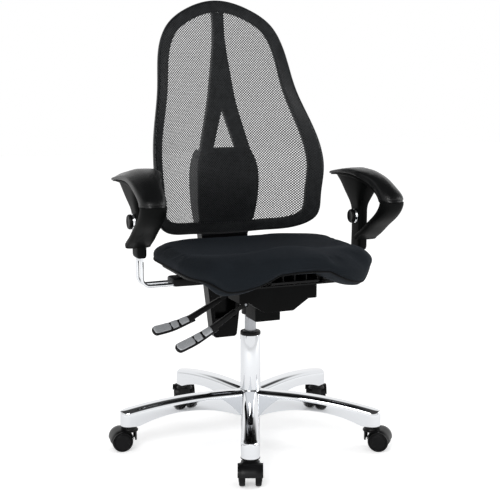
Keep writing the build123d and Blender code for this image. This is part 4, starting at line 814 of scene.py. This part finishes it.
def seat_ring(plan, s, upper):
    """Points of the cushion where the plan is shrunk by s, on its top or its underside.

    Height runs from rim to top as (1 - s^n)^(1/m). The power n is 9 at the rear and 3.6 at the
    front, where the edge rolls over slowly. Below, n is 12 and 3.
    """
    x, y = s * plan[:, 0], s * plan[:, 1]
    top, rim, under = seat_heights(x, y)
    _, edge, _ = seat_heights(*plan.T)
    level = smooth_step(s, 0.5, 1.0) * (edge - rim) + rim
    ahead = smooth_step(-plan[:, 1], 0, 200) * smooth_step(s, 0.0, 0.4)
    power = 9 - 5.4 * ahead if upper else 12 - 9.0 * ahead
    curve = np.clip(1 - s**power, 0, 1) ** (1 / 2.1)
    z = level + ((top if upper else under) - level) * curve
    return np.stack([x, y + SEAT_Y, z], -1)


def seat_form(around=220):
    """The cushion: rings shrink from the plan's outline to the middle, over the top and back below."""
    plan = seat_plan(around)
    s_top = 1 - np.linspace(0, 1, 34)[::-1] ** 1.9
    return surface(np.concatenate([seat_ring(plan, s_top[:, None], True),
                                   seat_ring(plan, s_top[::-1][1:, None], False)]), close_columns=True)


def swollen(piece, voxel_mm, cap_mm, held_below):
    """Fills a cushion by cloth simulation under pressure; no point moves further than the cap.

    Points below the seam's height stay, and the cap grows over 25 mm above it.
    """
    remesh = piece.modifiers.new("voxel", "REMESH")
    remesh.mode, remesh.voxel_size, remesh.use_smooth_shade = "VOXEL", voxel_mm * MM, True
    bpy.context.view_layer.objects.active = piece
    for other in bpy.context.selected_objects:
        other.select_set(False)
    piece.select_set(True)
    bpy.ops.object.modifier_apply(modifier="voxel")
    count = len(piece.data.vertices)
    before = np.empty(3 * count)
    piece.data.vertices.foreach_get("co", before)
    cloth = piece.modifiers.new("cloth", "CLOTH")
    cloth.settings.use_pressure, cloth.settings.uniform_pressure_force = True, 4.0
    cloth.settings.effector_weights.gravity = 0
    cloth.point_cache.frame_start, cloth.point_cache.frame_end = 1, 20
    for moment in range(1, 21):
        bpy.context.scene.frame_set(moment)
    made = piece.evaluated_get(bpy.context.evaluated_depsgraph_get())
    after = np.empty(3 * count)
    made.data.vertices.foreach_get("co", after)
    piece.modifiers.remove(cloth)
    bpy.context.scene.frame_set(1)
    start, move = before.reshape(-1, 3), (after - before).reshape(-1, 3)
    far = np.linalg.norm(move, axis=1)
    _, _, under = seat_heights(start[:, 0] / MM, start[:, 1] / MM - SEAT_Y)
    allowed = cap_mm * MM * smooth_step(start[:, 2] / MM - under - held_below, 0, 25)
    move *= (np.minimum(far, allowed) / np.maximum(far, 1e-9))[:, None]
    piece.data.vertices.foreach_set("co", (start + move).ravel())
    piece.data.update()


cushion = mesh_piece("seat_cushion_upholstered", *seat_form(), sharp=180)
swollen(cushion, 5.0, 5.0, 8.0)
smooth = cushion.modifiers.new("smooth", "SUBSURF")
smooth.levels = smooth.render_levels = 1


def cloth_map(piece):
    """Lays the cloth's map in millimetres: top as it lies, sides folded down along their outline."""
    count = len(piece.data.vertices)
    place = np.empty(3 * count)
    piece.data.vertices.foreach_get("co", place)
    x, y, z = place.reshape(-1, 3).T / MM
    fall = 480 - z
    u = x + np.sign(x) * smooth_step(np.abs(x), 130, 235) * fall
    v = y - smooth_step(-y, 130, 300) * fall + smooth_step(y, 60, 135) * fall
    corner = np.empty(len(piece.data.loops), int)
    piece.data.loops.foreach_get("vertex_index", corner)
    layer = piece.data.uv_layers.new(name="cloth")
    layer.data.foreach_set("uv", np.c_[u[corner], v[corner]].ravel())


cloth_map(cushion)
dress(cushion, "seat", SEAT_CLOTH, "seat_fabric", "seat_cushion")


def seat_piping():
    """The piping: a cord of 5 mm round the cushion's lower edge, under its rim and further under in front."""
    plan = seat_plan(400)
    path = seat_ring(plan, 0.978 - 0.04 * smooth_step(-plan[None, :, 1], 20, 200), False)[0]
    slope = np.roll(path, -1, 0) - np.roll(path, 1, 0)
    slope /= np.linalg.norm(slope, axis=1)[:, None]
    out = np.cross(slope, [0, 0, 1.0])
    out /= np.linalg.norm(out, axis=1)[:, None]
    up = np.cross(out, slope)
    a = np.linspace(0, 2 * PI, 12, endpoint=False)
    ring = path[:, None] + 2.4 * (np.cos(a)[None, :, None] * out[:, None] + np.sin(a)[None, :, None] * up[:, None])
    return surface(ring, close_rows=True, close_columns=True)


add_piece("seat_piping_sewn", seat_piping(), "seat", PIPING, "seat_fabric")
softened("seat_shell", 0.8, 2, "seat", SHELL_PLASTIC, "shell_plastic")
finish_node(BLACK_STEEL, "seat_plate")


def rod_clamps():
    """The two clamps under the seat: bars of 50 by 22 mm across, slimmer towards their outer ends."""
    x = np.array([112.0, 114.0, 170.0, 206.0, 212.0, 214.0])
    half = np.array([[23.0, 9.6], [25.0, 11.0], [25.0, 11.0], [24.6, 10.6], [23.6, 9.6], [21.0, 7.6]])
    bars = [carried(rounded_box_section(1.0, 1.0, 40, 7.0), np.c_[side * x, np.full(6, -22.0), np.full(6, 415.5)],
                    (0, 1, 0), size=half) for side in (-1, 1)]
    return joined(*bars)


add_piece("armrest_clamps_moulded", rod_clamps(), "seat", GRIP_PLASTIC, "grip_plastic", "armrest_clamps")

# ---------------------------------------------------------------- armrests
CROWN_LINE = [(76, 668), (30, 677), (-40, 685), (-112, 673), (-168, 645), (-192, 612)]
BOW_LINE = [(-192, 612), (-175, 583), (-118, 547), (-74, 520), (-44, 503)]
POST_Y, KNOB_Z, REST_HALF, REST_CORNER = -22.0, 562.0, 39.0, 27.0
OUTER_EDGE, NARROWING, EDGE_DROP = 327.0, 0.218, 12.0


def shaped(points, middle):
    """Points of an armrest narrowed towards the front, round at its front corners, lower outside.

    With w the distance from the chair's middle, w' = 327 - k (327 - w), where k falls from 1 to
    0.78 between y -70 and -160. At a distance u from the narrowed strap's middle the corner's
    circle stands back by r - sqrt(r^2 - v^2), with v the part of u beyond the circle's centre; all
    of it counts at the front, none at y -20. The outer edge drops by up to 12 mm on the crown.
    """
    side = np.sign(middle)
    points = points.copy()
    w, y, z = side * points[..., 0], points[..., 1].copy(), points[..., 2].copy()
    k = 1 - NARROWING * np.where(z < CROWN_LINE[-1][1], 1.0, smooth_step(-y, 70, 160))
    w = OUTER_EDGE - k * (OUTER_EDGE - w)
    v = np.clip(np.abs(w - OUTER_EDGE + REST_HALF * k) - (REST_HALF * k - REST_CORNER), 0, REST_CORNER)
    back = REST_CORNER - np.sqrt(REST_CORNER**2 - v**2)
    points[..., 0] = side * w
    points[..., 1] = y + back * smooth_step(-y, 20, 205)
    points[..., 2] = z - EDGE_DROP * smooth_step(w, 292, OUTER_EDGE) * smooth_step(z, 615, 665)
    return points


def strap(line, thick, half, middle, power=5.0, crowned=0.0):
    """A broad strap: its outer face follows a line of (y, z), and its thickness goes inwards from there."""
    count = len(line)
    thick, half = np.broadcast_to(thick, count), np.broadcast_to(half, count)
    centre = line + (beside(line, 1.0) - line) * (thick / 2)[:, None]
    section = rounded_box_section(1.0, 1.0, 56, power)
    section[:, 1] -= crowned * section[:, 0] ** 2 * (section[:, 1] > 0)
    v, f = carried(section, np.c_[np.full(count, middle), centre], (1, 0, 0), size=np.c_[half, thick / 2])
    return shaped(v, middle), f


def arm_pad(middle):
    """The arm pad: a strap along the arm's crown, thinner towards the rear tip, round at both ends."""
    line = curve_through(CROWN_LINE, 110, (-1, 0.25), (0, -1))
    along = np.linspace(0, 1, 110)
    end = np.sqrt(np.clip(1 - np.abs(2 * along - 1) ** 90, 0.05, 1))
    return strap(line, end * (8 + 9 * smooth_step(along, 0.0, 0.45)), REST_HALF * end**0.25, middle, 6.0, 0.1)


def arm_moulding(middle):
    """The moulding: a carrier under the pad, a bow below its front seam, and the post.

    The post's section is a superellipse at each height. It is 24 by 52 mm up to 575 mm and widens
    above that, fast at the rear. Its upper rings bend up to lie 12 mm under the crown's line:
    z' = z + (crown(y) - 12 - 650) t, with t a smooth step of z from 598 to 650.
    """
    crown = curve_through(CROWN_LINE, 110, (-1, 0.25), (0, -1))
    along = np.linspace(0, 1, 110)
    under = beside(crown, 1.0) - crown
    carrier_line = (crown + under * (7.5 + 8 * smooth_step(along, 0.0, 0.45))[:, None])[3:-2]
    carrier = strap(carrier_line, 3 + 6 * smooth_step(along[3:-2], 0.0, 0.3), REST_HALF - 2.2, middle)
    bow_line = curve_through(BOW_LINE, 70, (0, -1), (0.8, -0.6))
    t = np.linspace(0, 1, 70)
    bow = strap(bow_line, 13.0 + 3 * smooth_step(t, 0.5, 1.0), REST_HALF - 0.4, middle)
    z = np.r_[478.0, 478.6, 480.2, 483, 487, np.linspace(495, 650, 40)]
    a = np.linspace(0, 2 * PI, 56, endpoint=False)
    c, s = signed_power(np.cos(a), 0.45), signed_power(np.sin(a), 0.45)
    tuck = np.sqrt(np.clip(1 - ((487 - np.minimum(z, 487)) / 9.2) ** 2, 0, 1))
    half_x = 12 - 4 * (1 - tuck) + 19 * smooth_step(z, 575, 650)
    front = -48 + 6 * (1 - tuck) - 44 * smooth_step(z, 590, 650)
    rear = value_along([478, 572, 600, 614, 636, 645, 650], [4, 4, 12, 26, 50, 62, 68], z) - 6 * (1 - tuck)
    x = middle + np.sign(middle) * 2 * smooth_step(z, 575, 650)[:, None] + half_x[:, None] * c
    y = ((front + rear) / 2)[:, None] + ((rear - front) / 2)[:, None] * s
    roof = value_along(crown[::-1, 0], crown[::-1, 1], y) - 12
    z = z[:, None] + (roof - 650) * smooth_step(z, 598, 650)[:, None]
    post = surface(np.stack([x, y, z], -1), close_columns=True, caps=True)
    return joined(carrier, bow, post)


def about_bolt(shape, middle):
    """Turns a turned shape's axis to the clamp bolt's, so that its height runs away from the post."""
    v, f = shape
    v = np.asarray(v)
    return np.c_[middle - v[:, 2], POST_Y + v[:, 0], KNOB_Z + v[:, 1]], f


def knob_cup(middle):
    """The chromed cup between knob and post, with a stepped edge."""
    return about_bolt(turned([(3.2, 12.2), (18.2, 12.2), (18.6, 12.8), (18.4, 14.6), (16.6, 16.4), (15.8, 18.8),
                              (3.2, 19.0)], 64), middle)


def knob_head(middle):
    """The knob's head with a rounded edge and a sunk face, and the bolt's end beyond the post."""
    head = turned([(3.0, 17.8), (16.4, 17.8), (17.4, 18.6), (17.6, 20.4), (17.2, 24.2), (16.0, 26.0), (13.8, 26.6),
                   (12.6, 25.8), (3.0, 25.4), (0.6, 25.2)], 64)
    end = turned([(0.6, -20.6), (3.4, -20.6), (4.2, -19.8), (4.2, -11.9), (0.6, -11.9)], 32)
    return about_bolt(joined(head, end), middle)


for side_name, arm_x, drop in (("left", 288.0, 16.0), ("right", -288.0, 0.0)):
    lower = (0.0, 0.0, -drop)
    rest, knob = f"armrest_{side_name}", f"armrest_knob_{side_name}"
    pad = add_piece(f"armrest_pad_{side_name}_moulded", placed(arm_pad(arm_x), offset=lower),
                    rest, ARM_FOAM, "arm_pad", f"armrest_pad_{side_name}")
    add_piece(f"{rest}_moulded", placed(arm_moulding(arm_x), offset=lower),
              rest, ARM_PLASTIC, "arm_plastic", f"armrest_moulding_{side_name}")
    finish_node(CHROME, f"armrest_rods_{side_name}")
    add_piece(f"{knob}_moulded", placed(knob_head(arm_x), offset=lower), knob, GRIP_PLASTIC, "grip_plastic", knob)
    add_piece(f"armrest_washer_{side_name}_chromed", placed(knob_cup(arm_x), offset=lower), knob, CHROME, "chrome")

# ---------------------------------------------------------------- floor, light and camera
floor = mesh_piece("floor", *surface(np.array([
    [(-9000, -9000, 0), (9000, -9000, 0)], [(-9000, 9000, 0), (9000, 9000, 0)]], float)), closed=False)
# The paper's glow brings it to white for the camera and lifts it a little in mirrors; shadows stay.
floor_finish, floor_tree, _ = new_finish("pale_paper")
paper = add_node(floor_tree, "ShaderNodeBsdfDiffuse", {"Color": linear("#f2f2f2")})
floor_ray = add_node(floor_tree, "ShaderNodeLightPath")
seen = add_node(floor_tree, "ShaderNodeMath", {0: floor_ray.outputs["Is Camera Ray"],
                                               1: floor_ray.outputs["Is Glossy Ray"]}, operation="MAXIMUM")
through = add_node(floor_tree, "ShaderNodeMath", {0: seen.outputs[0], 1: floor_ray.outputs["Is Transmission Ray"]},
                   operation="MAXIMUM")
lift = add_node(floor_tree, "ShaderNodeMath", {0: through.outputs[0], 1: 0.2}, operation="MULTIPLY")
bright = add_node(floor_tree, "ShaderNodeMath", {0: floor_ray.outputs["Is Camera Ray"], 1: 0.22, 2: lift.outputs[0]},
                  operation="MULTIPLY_ADD")
glow = add_node(floor_tree, "ShaderNodeEmission", {"Color": (1.0, 1.0, 1.0, 1.0), "Strength": bright.outputs[0]})
both = add_node(floor_tree, "ShaderNodeAddShader", {0: paper.outputs[0], 1: glow.outputs[0]})
add_node(floor_tree, "ShaderNodeOutputMaterial", {"Surface": both.outputs[0]})
floor.data.materials.append(floor_finish)

world = bpy.data.worlds.new("studio")
bpy.context.scene.world = world
world.use_nodes = True
sky = world.node_tree
sky.nodes.clear()
# White to the camera and 0.72 as a light. Mirrors see white walls up to a third of the way to the
# zenith, a grey card at either side of the walls, and a dark ceiling.
ray = add_node(sky, "ShaderNodeLightPath")
way = add_node(sky, "ShaderNodeSeparateXYZ", {"Vector": add_node(sky, "ShaderNodeTexCoord").outputs["Generated"]})
gloss = add_node(sky, "ShaderNodeMapRange", {"Value": way.outputs["Z"], "From Min": 0.42, "From Max": 0.62,
                                             "To Min": 1.0, "To Max": 0.06}, interpolation_type="SMOOTHSTEP")
aside = add_node(sky, "ShaderNodeVectorMath", {0: way.inputs["Vector"].links[0].from_socket, 1: (0.887, -0.462, 0.0)},
                 operation="DOT_PRODUCT")
sideways = add_node(sky, "ShaderNodeMath", {0: aside.outputs["Value"]}, operation="ABSOLUTE")
card = add_node(sky, "ShaderNodeMapRange", {"Value": sideways.outputs[0], "From Min": 0.84, "From Max": 0.97,
                                            "To Min": 1.0, "To Max": 0.7}, interpolation_type="SMOOTHSTEP")
walls = add_node(sky, "ShaderNodeMath", {0: gloss.outputs["Result"], 1: card.outputs["Result"]}, operation="MULTIPLY")
plain = add_node(sky, "ShaderNodeMath", {0: ray.outputs["Is Glossy Ray"], 1: walls.outputs[0]}, operation="MULTIPLY")
not_gloss = add_node(sky, "ShaderNodeMath", {0: 1.0, 1: ray.outputs["Is Glossy Ray"]}, operation="SUBTRACT")
soft = add_node(sky, "ShaderNodeMath", {0: not_gloss.outputs[0], 1: 0.72, 2: plain.outputs[0]},
                operation="MULTIPLY_ADD")
direct = add_node(sky, "ShaderNodeMath", {0: ray.outputs["Is Camera Ray"], 1: ray.outputs["Is Transmission Ray"]},
                  operation="MAXIMUM")
strength = add_node(sky, "ShaderNodeMath", {0: soft.outputs[0], 1: direct.outputs[0]}, operation="MAXIMUM")
light = add_node(sky, "ShaderNodeBackground", {"Color": (1.0, 1.0, 1.0, 1.0), "Strength": strength.outputs[0]})
add_node(sky, "ShaderNodeOutputWorld", {"Surface": light.outputs[0]})


def soft_box(name, spot, aim, size, watts):
    """A rectangular soft light at a spot in metres, turned to face an aim."""
    lamp = bpy.data.lights.new(name, "AREA")
    lamp.shape, lamp.size, lamp.size_y, lamp.energy = "RECTANGLE", size[0], size[1], watts
    made = new_object(name, lamp)
    made.location = spot
    made.rotation_euler = (Vector(aim) - Vector(spot)).to_track_quat("-Z", "Y").to_euler()
    return made


soft_box("key_light", (-2.2, -2.6, 2.6), (0, 0, 0.5), (1.6, 1.6), 55)
soft_box("right_light", (3.0, -1.2, 1.6), (0, 0, 0.6), (1.2, 2.0), 30)

lens = bpy.data.cameras.new("camera")
camera = new_object("camera", lens)
lens.lens, lens.sensor_width, lens.shift_x = 74.97, 36.0, -0.0008
camera.location = (-0.962, -2.3225, 0.9004)
camera.rotation_euler = (math.radians(80.348), 0, math.radians(-22.5))
bpy.context.scene.camera = camera
bpy.context.scene.view_settings.view_transform = "Standard"
